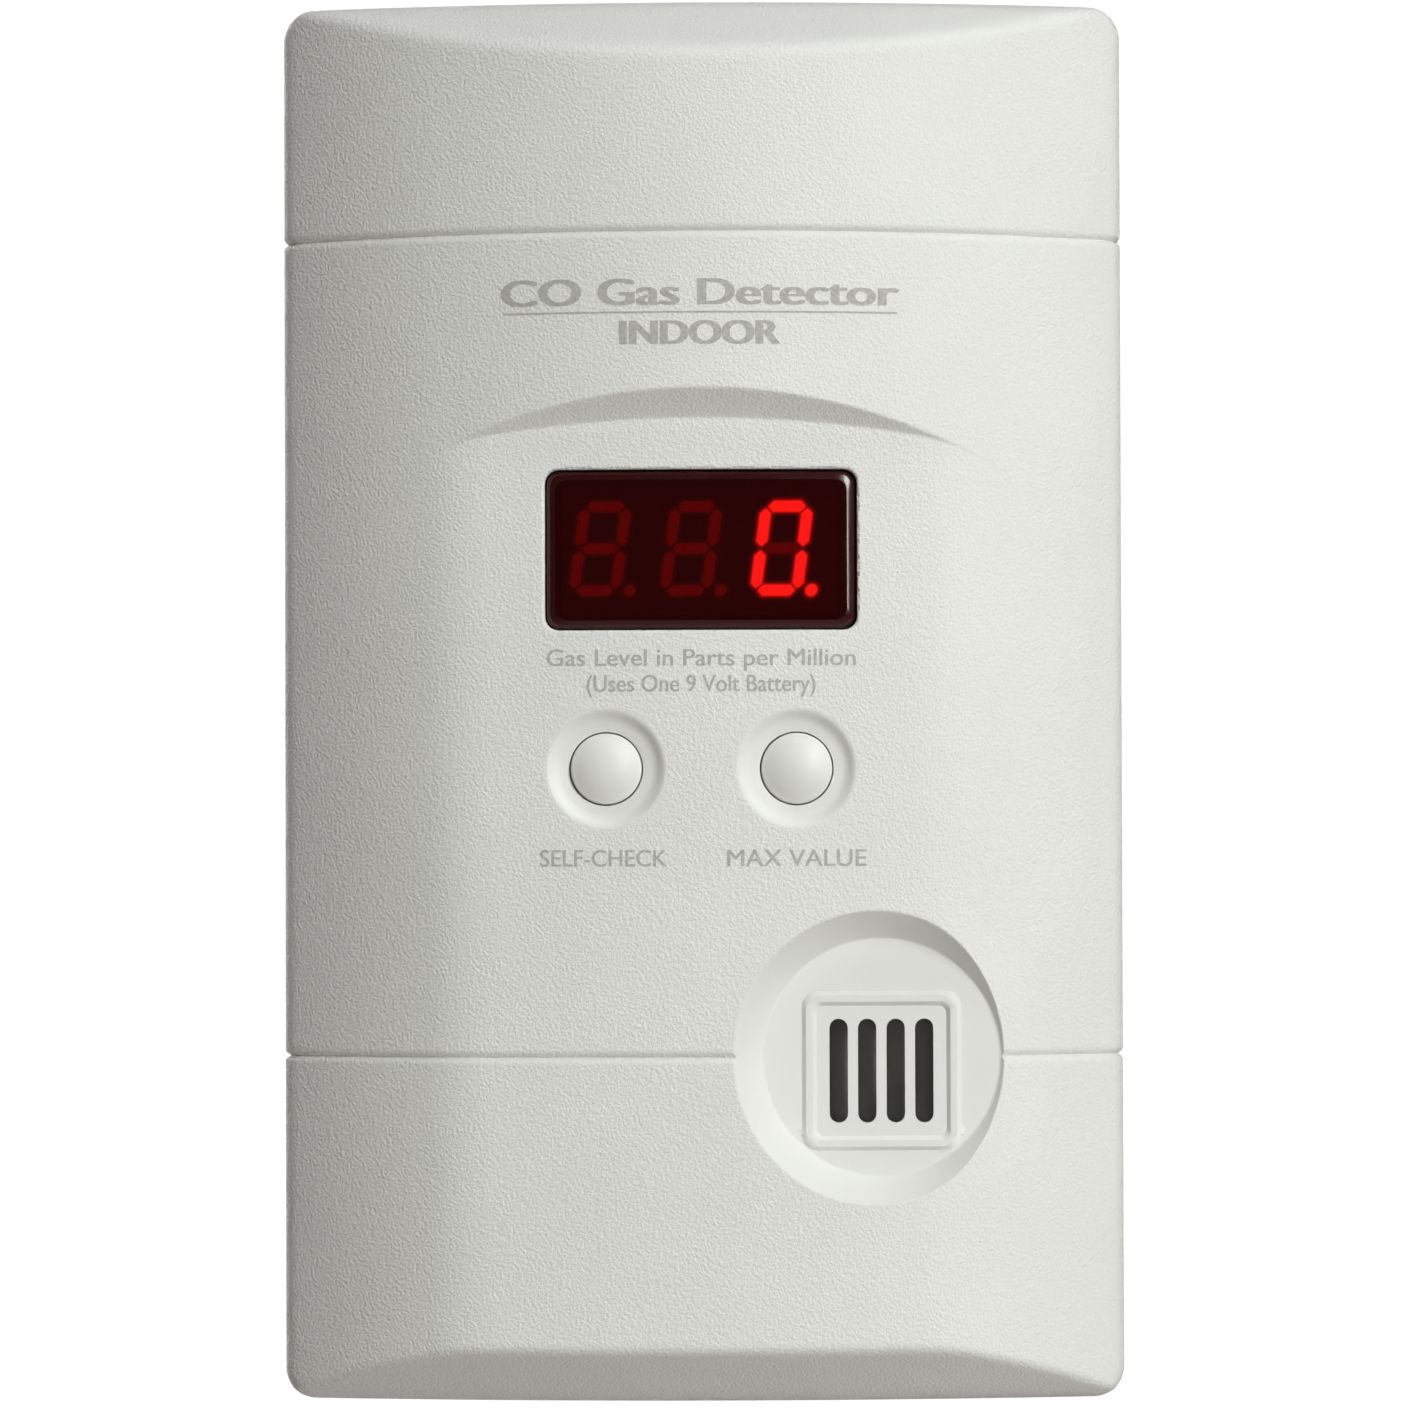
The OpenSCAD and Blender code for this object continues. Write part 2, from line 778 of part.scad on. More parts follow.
module battery_contacts() {
    from = battery_left + battery_size[0] + terminal_l;
    color("goldenrod") {
        translate([box_half - contact_t, battery_y - 7.5, battery_z - 12]) cube([contact_t, 15, 24]);
        for (side = [-1, 1])
            translate([from, battery_y, battery_z + side * snap_pitch / 2]) rotate([0, 90, 0])
                cylinder(h = box_half - contact_t - from, r = 2.6);
    }
}

// ---- one node at a time, or all of them ---------------------------------

front_cover();
back_cover();
display_lens();
display_holder();
display_module();
dark_segments();
lit_segments();
display_pins();
test_button();
peak_button();
test_switch();
peak_switch();
test_plunger();
peak_plunger();
main_board();
board_screws();
cover_screws();
horn_case();
piezo_disc();
horn_pins();
sensor_can();
sensor_cap();
sensor_pins();
microcontroller();
chip_legs();
capacitors();
power_leads();
adapter_case();
adapter_cover();
adapter_clip();
live_blade();
neutral_blade();
transformer_core();
transformer_coil();
battery_door();
battery_case();
battery_terminals();
battery_contacts();
rating_label();
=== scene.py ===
import json
import math
import bpy
import numpy as np
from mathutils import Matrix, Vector, kdtree
from mathutils.geometry import delaunay_2d_cdt


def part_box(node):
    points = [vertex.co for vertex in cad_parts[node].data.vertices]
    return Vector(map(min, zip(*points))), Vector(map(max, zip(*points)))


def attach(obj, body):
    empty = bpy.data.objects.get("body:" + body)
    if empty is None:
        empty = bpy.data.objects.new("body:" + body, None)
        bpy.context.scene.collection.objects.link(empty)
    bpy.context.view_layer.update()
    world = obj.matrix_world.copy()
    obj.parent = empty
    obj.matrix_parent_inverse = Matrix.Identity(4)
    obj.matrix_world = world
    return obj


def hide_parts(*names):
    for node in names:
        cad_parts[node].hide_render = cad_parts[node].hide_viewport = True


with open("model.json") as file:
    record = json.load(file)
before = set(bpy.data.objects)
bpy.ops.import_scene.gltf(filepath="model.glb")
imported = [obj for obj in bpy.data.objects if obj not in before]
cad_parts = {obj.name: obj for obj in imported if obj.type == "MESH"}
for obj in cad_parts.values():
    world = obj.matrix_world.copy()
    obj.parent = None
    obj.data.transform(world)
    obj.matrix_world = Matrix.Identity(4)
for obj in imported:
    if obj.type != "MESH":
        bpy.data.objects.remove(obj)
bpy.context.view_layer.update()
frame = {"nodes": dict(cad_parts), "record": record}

MM = 0.001
NODES = frame["nodes"]

# ---------------------------------------------------------------- sizes, in millimetres


def box_mm(node):
    """The low and the high corner of a CAD piece's box."""
    low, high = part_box(node)
    return np.array(low) / MM, np.array(high) / MM


# The CAD pieces that the sizes below are taken from
COVER_LOW, COVER_HIGH = box_mm("front_cover")
LENS_LOW, LENS_HIGH = box_mm("display_lens")
PEAK_LOW, PEAK_HIGH = box_mm("peak_button")
HORN_LOW, HORN_HIGH = box_mm("horn_case")
LIT_LOW, LIT_HIGH = box_mm("lit_segments")

# The cover's outline, its bowed crown, the brow and the flatter shelf below it. A crease is the
# width over which two faces blend where they meet sharply.
HALF_W = (COVER_HIGH[0] - COVER_LOW[0]) / 2
HALF_H = (COVER_HIGH[2] - COVER_LOW[2]) / 2
APEX = COVER_LOW[1]
SEAM = COVER_HIGH[1]
CORNER_R = 3.4
EDGE_R = 1.2
EDGE_FALL = 0.8
WALL_T = 2.2
CROWN_R = 70.0
SHELF_R = 170.0
SHELF_DROP = 3.1
SHELF_BLEND = 0.8
SHELF_EDGE = 27.0
BROW_Z = 30.6
BROW_R = 1000.0
CREASE = 0.14

# The two sloping ends: slope in degrees, fall at the end, radius of the bulge
TOP_FACET = (54.0, 8.2, 140.0)
BOTTOM_FACET = (54.0, 11.1, 158.0)
TOP_BLEND = 1.5
BOTTOM_BLEND = 0.9

# The two grooves across the cover and round onto its sides
GROOVES = (50.6, -38.6)
GROOVE_HALF = 0.55
GROOVE_DEPTH = 0.55
GROOVE_TURN = 1.8

# The window and the pillow-edged pane in it: each row of the pane is an inset and a fall
WINDOW_Z = (LENS_LOW[2] + LENS_HIGH[2]) / 2
WINDOW_W = 33.8
WINDOW_H = 17.4
WINDOW_R = 1.5
WINDOW_EDGE = 0.3
WINDOW_WALL = 2.1
PANE_GAP = 0.18
PANE_R = 1.4
PANE_BACK = 0.03
PANE_ROWS = ((0.0, 1.9), (0.0, 0.75), (0.06, 0.46), (0.2, 0.28), (0.36, 0.17), (0.42, 0.145),
             (0.78, 0.025), (0.92, 0.0), (1.5, -0.03))
PANE_RIM_ROWS = 4
PANE_MIDDLE = (15.0, 6.8)

# The buttons, their holes and the dishes round them
BUTTON_X = (PEAK_LOW[0] + PEAK_HIGH[0]) / 2
BUTTON_Z = (PEAK_LOW[2] + PEAK_HIGH[2]) / 2
BUTTON_R = 3.85
BUTTON_DOME = 6.8
BUTTON_RIM = 0.35
BUTTON_WALL = 2.6
FLANGE_R = 5.0
FLANGE_T = 0.7
STEM_R = 2.1
HOLE_R = 4.0
DISH_R = 6.5
DISH_DEPTH = 1.1
DISH_RIM = 1.35
DISH_RIM_SHARE = 0.7

# The horn recess with its tilted floor, the frame on the floor and the slots in the frame
HORN_X = (HORN_LOW[0] + HORN_HIGH[0]) / 2
HORN_Z = (HORN_LOW[2] + HORN_HIGH[2]) / 2
HORN_R = 12.95
HORN_DROP = 8.0
HORN_TILT = math.radians(2.5)
HORN_SLOPE = 1.3
HORN_FOOT = 0.1
HORN_REACH = 17.5
GRILLE_Z = -1.5
FRAME_W = 17.0
FRAME_T = 1.3
FRAME_R = 1.6
FRAME_INNER = FRAME_W - 2 * FRAME_T
FRAME_INNER_R = 0.8
FRAME_RISE = 0.5
FRAME_FOOT = 0.12
FRAME_CREST = -0.28
SLOT_W = 2.0
SLOT_H = 11.3
SLOT_PITCH = 3.1
SLOT_COUNT = 4
SLOT_WALL = 2.0

# The vents low on each side, cut from the row of the side's quads between two depths
VENT_COUNT = 5
VENT_PITCH = 3.0
VENT_TOP = -56.0
VENT_HALF = 0.65
VENT_FRONT = -23.0
VENT_BACK = -15.0
VENT_ROW = 3

# The display's digits: their places are -1, 0 and 1, and the lit one is at 1
DIGIT_W = 5.7
DIGIT_H = 10.3
DIGIT_PITCH = 9.85
DIGIT_LEAN = math.tan(math.radians(7.5))
STROKE = 1.2
BAR_GAP = 0.18
BAR_EDGE = 0.25
BAR_STEP = 0.003
POINT_R = 0.65
POINT_OUT = DIGIT_W / 2 + 0.35
DIGIT_X = LIT_HIGH[0] - POINT_OUT - POINT_R
DIGIT_Z = LIT_HIGH[2] - DIGIT_H / 2
# Rings round a bar's core: distance outwards, glow, and fall below the bar's face
GLOW_RINGS = ((0.02, 1.0, 0.0), (0.12, 0.97, 0.0), (0.2, 0.75, 0.01), (0.28, 0.4, 0.03),
              (0.38, 0.15, 0.04), (0.55, 0.04, 0.05), (0.8, 0.0, 0.05))

# The battery's rolled ends: distance from the end, and inset
BATTERY_R = 2.0
BATTERY_METAL = 1.6
BATTERY_END = ((0.0, 1.1), (0.12, 0.5), (0.45, 0.12), (0.9, 0.0), (1.3, 0.0), (1.45, 0.22),
               (1.65, 0.22), (1.8, 0.0), (3.0, 0.0))

# The print: its thickness, the step between overlaid copies, and the font's cap height
INK_OUT = 0.03
INK_STEP = 0.004
FONT_CAP = 0.729

# ---------------------------------------------------------------- the face as a depth field


def soft_max(a, b, k):
    """The larger of two depths, blended where they lie within k."""
    return np.maximum(a, b) + np.maximum(k - np.abs(a - b), 0) ** 2 / (4 * k)


def soft_min(a, b, k):
    """The smaller of two depths, blended where they lie within k."""
    return -soft_max(-a, -b, k)


def step(low, high, value):
    """A smooth rise from 0 at low to 1 at high."""
    t = np.clip((value - low) / (high - low), 0, 1)
    return t * t * (3 - 2 * t)


def rounded_distance(x, z, w, h, r):
    """Signed distance to a rounded rectangle, negative inside."""
    qx = np.abs(x) - (w / 2 - r)
    qz = np.abs(z) - (h / 2 - r)
    outside = np.hypot(np.maximum(qx, 0), np.maximum(qz, 0))
    return outside + np.minimum(np.maximum(qx, qz), 0) - r


def bowed(radius, x):
    """Fall of an arc of a radius at x from its middle."""
    return radius - np.sqrt(radius ** 2 - x ** 2)


def crown(x):
    """Fall of the bowed crown."""
    return bowed(CROWN_R, x)


def shelf(x):
    """Fall of the shelf below the brow."""
    return SHELF_DROP + SHELF_R - np.sqrt(SHELF_R ** 2 - x ** 2)


def facet(x, z, shape):
    """Fall of a sloping, bulging end."""
    slope, drop, bulge = math.radians(shape[0]), shape[1], shape[2]
    bow = bowed(bulge / math.cos(slope), x)
    return drop + math.tan(slope) * (z - HALF_H) + bow / math.cos(slope)


def groove(x, z):
    """Fall of the grooves, steeper in the middle."""
    fall = np.zeros_like(x)
    for level in GROOVES:
        t = np.clip(1 - np.abs(z - level) / GROOVE_HALF, 0, 1)
        fall = fall + GROOVE_DEPTH * t * t * (1.6 - 0.6 * t)
    return fall


def horn_local(x, z, fall):
    """Place on the tilted floor of the horn recess, from its middle."""
    dx = x - HORN_X
    dy = fall - HORN_DROP
    return math.cos(HORN_TILT) * dx + math.sin(HORN_TILT) * dy, z - HORN_Z


def horn_floor(x):
    """Fall of the horn recess's floor."""
    return HORN_DROP + math.tan(HORN_TILT) * (x - HORN_X)


def horn_recess(x, z):
    """Fall of the horn recess: its floor, its conical wall and the frame on the floor."""
    fall = horn_floor(x)
    for _ in range(4):
        lx, lz = horn_local(x, z, fall)
        rise = HORN_SLOPE * soft_max(np.hypot(lx, lz) - HORN_R, 0 * lx, HORN_FOOT)
        fall = horn_floor(x) - rise / math.cos(HORN_TILT)
    lx, lz = horn_local(x, z, fall)
    outer = rounded_distance(lx, lz - GRILLE_Z, FRAME_W, FRAME_W, FRAME_R)
    inner = rounded_distance(lx, lz - GRILLE_Z, FRAME_INNER, FRAME_INNER, FRAME_INNER_R)
    return fall - FRAME_RISE * step(FRAME_FOOT, FRAME_CREST, np.maximum(outer, -inner))


def dish_radius(x, z):
    """Distance from the middle of the nearer button."""
    return np.hypot(np.abs(x) - BUTTON_X, z - BUTTON_Z)


def plain_face(x, z):
    """Depth below the crown, in front of any hole or recess."""
    high = crown(x)
    low = soft_max(shelf(x), high, SHELF_BLEND)
    spread = np.hypot(x, z - (BROW_Z - BROW_R))
    brow = soft_max(high, BROW_R + SHELF_DROP - spread, CREASE)
    fall = soft_min(low, brow, CREASE)
    fall = soft_max(fall, facet(x, z, TOP_FACET), TOP_BLEND)
    return soft_max(fall, facet(x, -z, BOTTOM_FACET), BOTTOM_BLEND)


def dish(x, z):
    """Fall of the dishes round the buttons: a rounded rim, then a shallow bowl."""
    radius = dish_radius(x, z)
    bowl = np.clip((DISH_R - radius) / (DISH_R - BUTTON_R), 0, 1)
    rim = step(0, DISH_RIM, DISH_R - radius)
    return DISH_DEPTH * (DISH_RIM_SHARE * rim + (1 - DISH_RIM_SHARE) * bowl ** 2)


def lip(distance, r):
    """Quarter-round fall of an edge, from its full radius at distance 0."""
    d = np.clip(distance, 0, r)
    return r - np.sqrt(np.maximum(r * r - (r - d) ** 2, 0))


def face(x, z):
    """Depth of the finished face below the crown."""
    fall = plain_face(x, z) + dish(x, z)
    fall = soft_max(fall + groove(x, z), horn_recess(x, z), CREASE)
    edge = rounded_distance(x, z - WINDOW_Z, WINDOW_W, WINDOW_H, WINDOW_R)
    fall = fall + lip(edge, WINDOW_EDGE)
    inside = -rounded_distance(x, z, 2 * HALF_W, 2 * HALF_H, CORNER_R)
    return fall + EDGE_FALL * lip(inside, EDGE_R)


def squeeze(x, z):
    """Carries the grooves round onto the sides."""
    inside = HALF_W - np.abs(x)
    weight = 1 - step(0, GROOVE_TURN, inside)
    return x - np.sign(x) * groove(x, z) * weight


# ---------------------------------------------------------------- outlines


def marks_between(a, b, spacing, heights):
    """Shares of the way from a to b at which points lie, with the heights on an upright side."""
    length = math.dist(a, b)
    if length < 1.5 * spacing:
        return []
    count = int(length / spacing)
    marks = {k / count for k in range(1, count)}
    if abs(a[0] - b[0]) < 1e-6:
        marks |= {(height - a[1]) / (b[1] - a[1]) for height in heights}
    kept = []
    for mark in sorted(m for m in marks if 1e-3 < m < 1 - 1e-3):
        wanted = any(abs(a[1] + (b[1] - a[1]) * mark - height) < 0.05 for height in heights)
        if kept and (mark - kept[-1][0]) * length < 0.12:
            if wanted and not kept[-1][1]:
                kept[-1] = (mark, True)
        else:
            kept.append((mark, wanted))
    return [mark for mark, _ in kept]


def rounded_loop(w, h, r, spacing, heights=()):
    """Points round a rounded rectangle, with extra points at the given heights on its sides."""
    corners = []
    steps = max(4, int(r * math.pi / 2 / min(spacing, 0.4)))
    for cx, cz, turn in ((1, 1, 0), (-1, 1, 1), (-1, -1, 2), (1, -1, 3)):
        for i in range(steps + 1):
            a = math.pi / 2 * (turn + i / steps)
            corners.append((cx * (w / 2 - r) + r * math.cos(a), cz * (h / 2 - r) + r * math.sin(a)))
    loop = []
    for i, a in enumerate(corners):
        b = corners[(i + 1) % len(corners)]
        loop.append(a)
        for mark in marks_between(a, b, spacing, heights):
            loop.append((a[0] + (b[0] - a[0]) * mark, a[1] + (b[1] - a[1]) * mark))
    return np.array(loop)


def turns(count):
    """Angles spread evenly over a full turn."""
    return np.linspace(0, 2 * math.pi, count, endpoint=False)


def circle_loop(cx, cz, r, spacing):
    """Points round a circle."""
    a = turns(max(16, int(2 * math.pi * r / spacing)))
    return np.column_stack([cx + r * np.cos(a), cz + r * np.sin(a)])


def on_horn_floor(loop, lx=0):
    """An outline on the tilted floor of the horn recess, as seen from the front."""
    x = HORN_X + (loop[:, 0] + lx) * math.cos(HORN_TILT)
    return np.column_stack([x, loop[:, 1] + HORN_Z + GRILLE_Z])


def slot_loop(i):
    """One slot of the grille."""
    lx = (i - (SLOT_COUNT - 1) / 2) * SLOT_PITCH
    return on_horn_floor(rounded_loop(SLOT_W, SLOT_H, SLOT_W / 2 - 0.02, 0.5), lx)


def face_outlines():
    """Loops of the face's edge and of its holes: the window, the buttons, then the slots."""
    marks = []
    for level in GROOVES:
        marks += [level + k * GROOVE_HALF for k in (-1, -0.66, -0.33, 0, 0.33, 0.66, 1)]
    for i in range(VENT_COUNT):
        marks += [VENT_TOP - VENT_PITCH * i - VENT_HALF, VENT_TOP - VENT_PITCH * i + VENT_HALF]
    outer = rounded_loop(2 * HALF_W, 2 * HALF_H, CORNER_R, 0.9, marks)
    holes = [rounded_loop(WINDOW_W, WINDOW_H, WINDOW_R, 0.7) + [0, WINDOW_Z]]
    holes += [circle_loop(side * BUTTON_X, BUTTON_Z, HOLE_R, 0.35) for side in (-1, 1)]
    holes += [slot_loop(i) for i in range(SLOT_COUNT)]
    return outer, holes


def hole_wall(number):
    """Length of a hole's wall, by its number in the list of holes counted from 1."""
    if number == 1:
        return WINDOW_WALL
    return BUTTON_WALL if number <= 3 else SLOT_WALL


# ---------------------------------------------------------------- mesh of the front cover


def keep_apart(fixed, layers):
    """Adds each layer's points that lie at least its gap away from all points before it."""
    points = [tuple(p) for p in fixed]
    for layer, gap in layers:
        tree = kdtree.KDTree(len(points))
        for i, p in enumerate(points):
            tree.insert((p[0], p[1], 0), i)
        tree.balance()
        for p in layer:
            if tree.find((p[0], p[1], 0))[2] >= gap:
                points.append((p[0], p[1]))
    return points


def grid(x0, x1, z0, z1, pitch_x, pitch_z):
    """Points over a rectangle, with every other row moved by half a pitch."""
    xs = np.linspace(x0, x1, max(2, int(round((x1 - x0) / pitch_x)) + 1))
    zs = np.linspace(z0, z1, max(2, int(round((z1 - z0) / pitch_z)) + 1))
    gx, gz = np.meshgrid(xs, zs)
    gx[1::2] += (xs[1] - xs[0]) / 2
    return np.column_stack([gx.ravel(), gz.ravel()])


def edge_layers():
    """Rows of points inside the cover's edge and round the window and the buttons."""
    layers = []
    for inset in (0.07, 0.18, 0.34, 0.56, 0.85, 1.2, 1.7):
        loop = rounded_loop(2 * (HALF_W - inset), 2 * (HALF_H - inset), CORNER_R - inset * 0.8, 0.8)
        layers.append((loop, 0.06 + 0.12 * inset))
    for out in (0.06, 0.15, 0.3, 0.6):
        loop = rounded_loop(WINDOW_W + 2 * out, WINDOW_H + 2 * out, WINDOW_R + out, 0.6)
        layers.append((loop + [0, WINDOW_Z], 0.05 + 0.1 * out))
    for side in (-1, 1):
        for r in (4.15, 4.35, 4.65, 5.0, 5.4, 5.75, 6.1, 6.35, 6.55, 6.9):
            layers.append((circle_loop(side * BUTTON_X, BUTTON_Z, r, 0.4), 0.09))
    return layers


def groove_layers():
    """Rows of points along the grooves, outside the horn recess."""
    layers = []
    for level in GROOVES:
        for k in (0, -1, 1, -0.5, 0.5, -1.6, 1.6):
            x = np.linspace(-HALF_W, HALF_W, 150)
            row = np.column_stack([x, np.full_like(x, level + k * GROOVE_HALF)])
            outside = np.hypot(row[:, 0] - HORN_X, row[:, 1] - HORN_Z) > HORN_R + 0.8
            layers.append((row[outside], 0.1))
    return layers


def frame_layers():
    """Rows of points along both edges of the frame round the grille."""
    rows = []
    for out in (0.15, -0.3, -0.08):
        rows.append(rounded_loop(FRAME_W + 2 * out, FRAME_W + 2 * out, FRAME_R, 0.6))
    for out in (-0.15, 0.3, 0.08):
        rows.append(rounded_loop(FRAME_INNER + 2 * out, FRAME_INNER + 2 * out, FRAME_INNER_R, 0.6))
    return [(on_horn_floor(row), 0.09) for row in rows]


def recess_layers():
    """Rows of points along the foot and the rim of the horn recess's wall."""
    layers = []
    a = turns(190)
    for r in (12.3, 12.6, 12.75, 12.86, 12.95, 13.04, 13.15, 13.3, 13.5):
        x = HORN_X + r * np.cos(a) * math.cos(HORN_TILT)
        layers.append((np.column_stack([x, HORN_Z + r * np.sin(a)]), 0.08))
    a = turns(300)
    rim = np.full_like(a, HORN_R)
    # Each step moves the rim towards the line where the wall meets the face
    for _ in range(40):
        x = HORN_X + rim * np.cos(a)
        z = HORN_Z + rim * np.sin(a)
        gap = horn_recess(x, z) - plain_face(x, z)
        rim = rim + gap / HORN_SLOPE * 0.6
    rim = np.maximum(rim, HORN_R)
    for out in (0, -0.1, 0.1, -0.22, 0.22, -0.4, 0.4, -0.7, 0.7, 1.0):
        r = rim + out
        layers.append((np.column_stack([HORN_X + r * np.cos(a), HORN_Z + r * np.sin(a)]), 0.08))
    return layers


def brow_edge(x, fall):
    """Height at which the brow's cone reaches a depth."""
    reach = BROW_R + SHELF_DROP - fall
    return BROW_Z - BROW_R + np.sqrt(reach ** 2 - x ** 2)


def brow_layers():
    """Rows of points along the foot, the crest and the slope of the brow."""
    x = np.linspace(-33, 33, 220)
    foot = brow_edge(x, np.maximum(shelf(x), crown(x)))
    crest = brow_edge(x, crown(x))
    rows = [foot + out for out in (0, -0.12, 0.12, -0.3, 0.3, -0.6, -1.0, -1.5)]
    rows += [crest + out for out in (0, -0.12, 0.12, -0.3, 0.3, 0.6, 1.0, 1.5)]
    rows += [foot + (crest - foot) * part for part in (0.25, 0.5, 0.75)]
    return [(np.column_stack([x, row]), 0.1) for row in rows]


def without_ends(x, z):
    """Fall of the crown above the middle and of the shelf below it, without the sloping ends."""
    return np.where(z > 0, crown(x), soft_max(shelf(x), crown(x), SHELF_BLEND))


def end_layers():
    """Rows of points along the line where each sloping end begins."""
    layers = []
    x = np.linspace(-HALF_W + 0.5, HALF_W - 0.5, 300)
    for sign, shape in ((1, TOP_FACET), (-1, BOTTOM_FACET)):
        z = np.full_like(x, HALF_H - 5.0)
        # Each step moves the row towards the line where the slope meets the rest
        for _ in range(30):
            gap = without_ends(x, sign * z) - facet(x, z, shape)
            z = z + gap / math.tan(math.radians(shape[0])) * 0.8
        for out in (-2.1, -1.5, -0.9, -0.5, -0.25, 0, 0.25, 0.5, 0.9, 1.4, 2.0):
            layers.append((np.column_stack([x, sign * (z + out)]), 0.14))
    return layers


def fill_layers():
    """Grids of points: fine on the recess's wall and the brow, coarse over the whole face."""
    wall = grid(2, 34, -56, -22, 0.5, 0.45)
    away = np.hypot(wall[:, 0] - HORN_X, wall[:, 1] - HORN_Z)
    layers = [(wall[(away < HORN_REACH) & (away > 12.4)], 0.3)]
    for x in (-SHELF_EDGE, SHELF_EDGE):
        layers.append((grid(x - 6, x + 6, 20, 33, 0.36, 0.34), 0.26))
    layers.append((grid(-30, 30, 22, 35, 0.6, 0.5), 0.42))
    for x in (-SHELF_EDGE, SHELF_EDGE):
        layers.append((grid(x - 4, x + 4, -HALF_H, 32, 0.8, 1.4), 0.55))
    layers.append((grid(-HALF_W, HALF_W, -HALF_H, HALF_H, 1.15, 1.0), 0.7))
    return layers


def face_points(outer, holes):
    """All points of the face, its outlines first."""
    layers = edge_layers() + groove_layers() + frame_layers() + recess_layers()
    layers += brow_layers() + end_layers() + fill_layers()
    fixed = np.vstack([outer] + holes)
    points = np.array(keep_apart(fixed, layers))
    inside = -rounded_distance(points[:, 0], points[:, 1], 2 * HALF_W, 2 * HALF_H, CORNER_R)
    keep = inside > 0.03
    keep[:len(fixed)] = True
    return points[keep]


def loop_edges(start, count):
    """Edges of a closed loop of points."""
    return [(start + i, start + (i + 1) % count) for i in range(count)]


def inside_loop(x, z, loop):
    """Whether each point lies inside a closed loop."""
    hit = np.zeros(len(x), dtype=bool)
    for a, b in zip(loop, np.roll(loop, -1, axis=0)):
        if a[1] == b[1]:
            continue
        crosses = (a[1] > z) != (b[1] > z)
        hit ^= crosses & (x < (b[0] - a[0]) * (z - a[1]) / (b[1] - a[1]) + a[0])
    return hit


def flat_face(outer, holes):
    """The face before it gets its depth: points, triangles, and each first point's new number."""
    edges = []
    start = 0
    for loop in [outer] + holes:
        edges += loop_edges(start, len(loop))
        start += len(loop)
    points = [Vector((p[0], p[1])) for p in face_points(outer, holes)]
    result = delaunay_2d_cdt(points, edges, [], 0, 1e-5)
    flat = np.array([(v.x, v.y) for v in result[0]])
    tris = np.array(result[2])
    centre = flat[tris].mean(axis=1)
    keep = rounded_distance(centre[:, 0], centre[:, 1], 2 * HALF_W, 2 * HALF_H, CORNER_R) < 0
    for loop in holes:
        keep &= ~inside_loop(centre[:, 0], centre[:, 1], loop)
    order = {index: new for new, old in enumerate(result[3]) for index in old}
    return flat, tris[keep], order


def front_mesh():
    """The face at its depth, with the cover's sides, the holes' walls and the vents."""
    outer, holes = face_outlines()
    flat, tris, order = flat_face(outer, holes)
    x, z = flat[:, 0], flat[:, 1]
    verts = [np.column_stack([squeeze(x, z), APEX + face(x, z), z])]
    faces = [tuple(t) for t in tris]
    gaps = []
    total = len(flat)
    start = 0
    for number, loop in enumerate([outer] + holes):
        ring = [order[start + i] for i in range(len(loop))]
        start += len(loop)
        top = verts[0][ring]
        levels = hole_levels(top, hole_wall(number)) if number else side_levels(top)
        for row, level in enumerate(levels):
            fresh = list(range(total, total + len(ring)))
            verts.append(level)
            total += len(ring)
            for i, k in loop_edges(0, len(ring)):
                span = (ring[i], ring[k], fresh[k], fresh[i])
                if number == 0 and row == VENT_ROW and in_vent(level[i], level[k]):
                    gaps.append(span)
                else:
                    faces.append(span)
            ring = fresh
    walls, inner = vent_walls(gaps, np.vstack(verts))
    return np.vstack(verts + [inner]), faces + walls


def in_vent(a, b):
    """Whether the span of the side between two ring points lies in a vent."""
    middle = (a + b) / 2
    below = (VENT_TOP - middle[2]) / VENT_PITCH
    nearest = round(below)
    on_side = abs(middle[0]) > HALF_W - 1
    return on_side and 0 <= nearest < VENT_COUNT and abs(below - nearest) * VENT_PITCH < VENT_HALF


def vent_walls(gaps, verts):
    """The rim of each gap, carried inwards by the wall's thickness."""
    rim = {}
    for span in gaps:
        for a, b in zip(span, span[1:] + span[:1]):
            if (b, a) in rim:
                del rim[(b, a)]
            else:
                rim[(a, b)] = True
    copies = {}
    inner = []
    walls = []
    for a, b in rim:
        for v in (a, b):
            if v not in copies:
                copies[v] = len(verts) + len(inner)
                inner.append(verts[v] - [math.copysign(WALL_T, verts[v][0]), 0, 0])
        walls.append((a, b, copies[b], copies[a]))
    return walls, np.array(inner)


def side_levels(top):
    """Rings from the face's edge down the side to the seam, and a lip inwards."""
    levels = []
    for part in (0.15, 0.5, 1.0):
        ring = top.copy()
        ring[:, 1] = top[:, 1] * (1 - part) + VENT_FRONT * part
        levels.append(ring)
    for depth in (VENT_BACK, SEAM - 0.4):
        ring = top.copy()
        ring[:, 1] = depth
        levels.append(ring)
    for inset, depth in ((0.04, -0.12), (0.16, -0.03), (0.35, 0), (WALL_T, 0), (WALL_T, -6)):
        ring = top.copy()
        ring[:, 0] *= (HALF_W - inset) / HALF_W
        ring[:, 2] *= (HALF_H - inset) / HALF_H
        ring[:, 1] = SEAM + depth
        levels.append(ring)
    return levels


def hole_levels(top, depth):
    """Rings from a hole's front edge back through the wall."""
    levels = []
    for part in (0.1, 1.0):
        ring = top.copy()
        ring[:, 1] = top[:, 1] + depth * part
        levels.append(ring)
    return levels


# ---------------------------------------------------------------- pieces and their masks


def ring_faces(start, count, rings, flip=False):
    """Quads between rings that follow each other, each of the same number of points."""
    faces = []
    for first in range(start, start + (rings - 1) * count, count):
        for i in range(count):
            k = (i + 1) % count
            a, b, c, d = first + i, first + k, first + count + k, first + count + i
            faces.append((a, d, c, b) if flip else (a, b, c, d))
    return faces


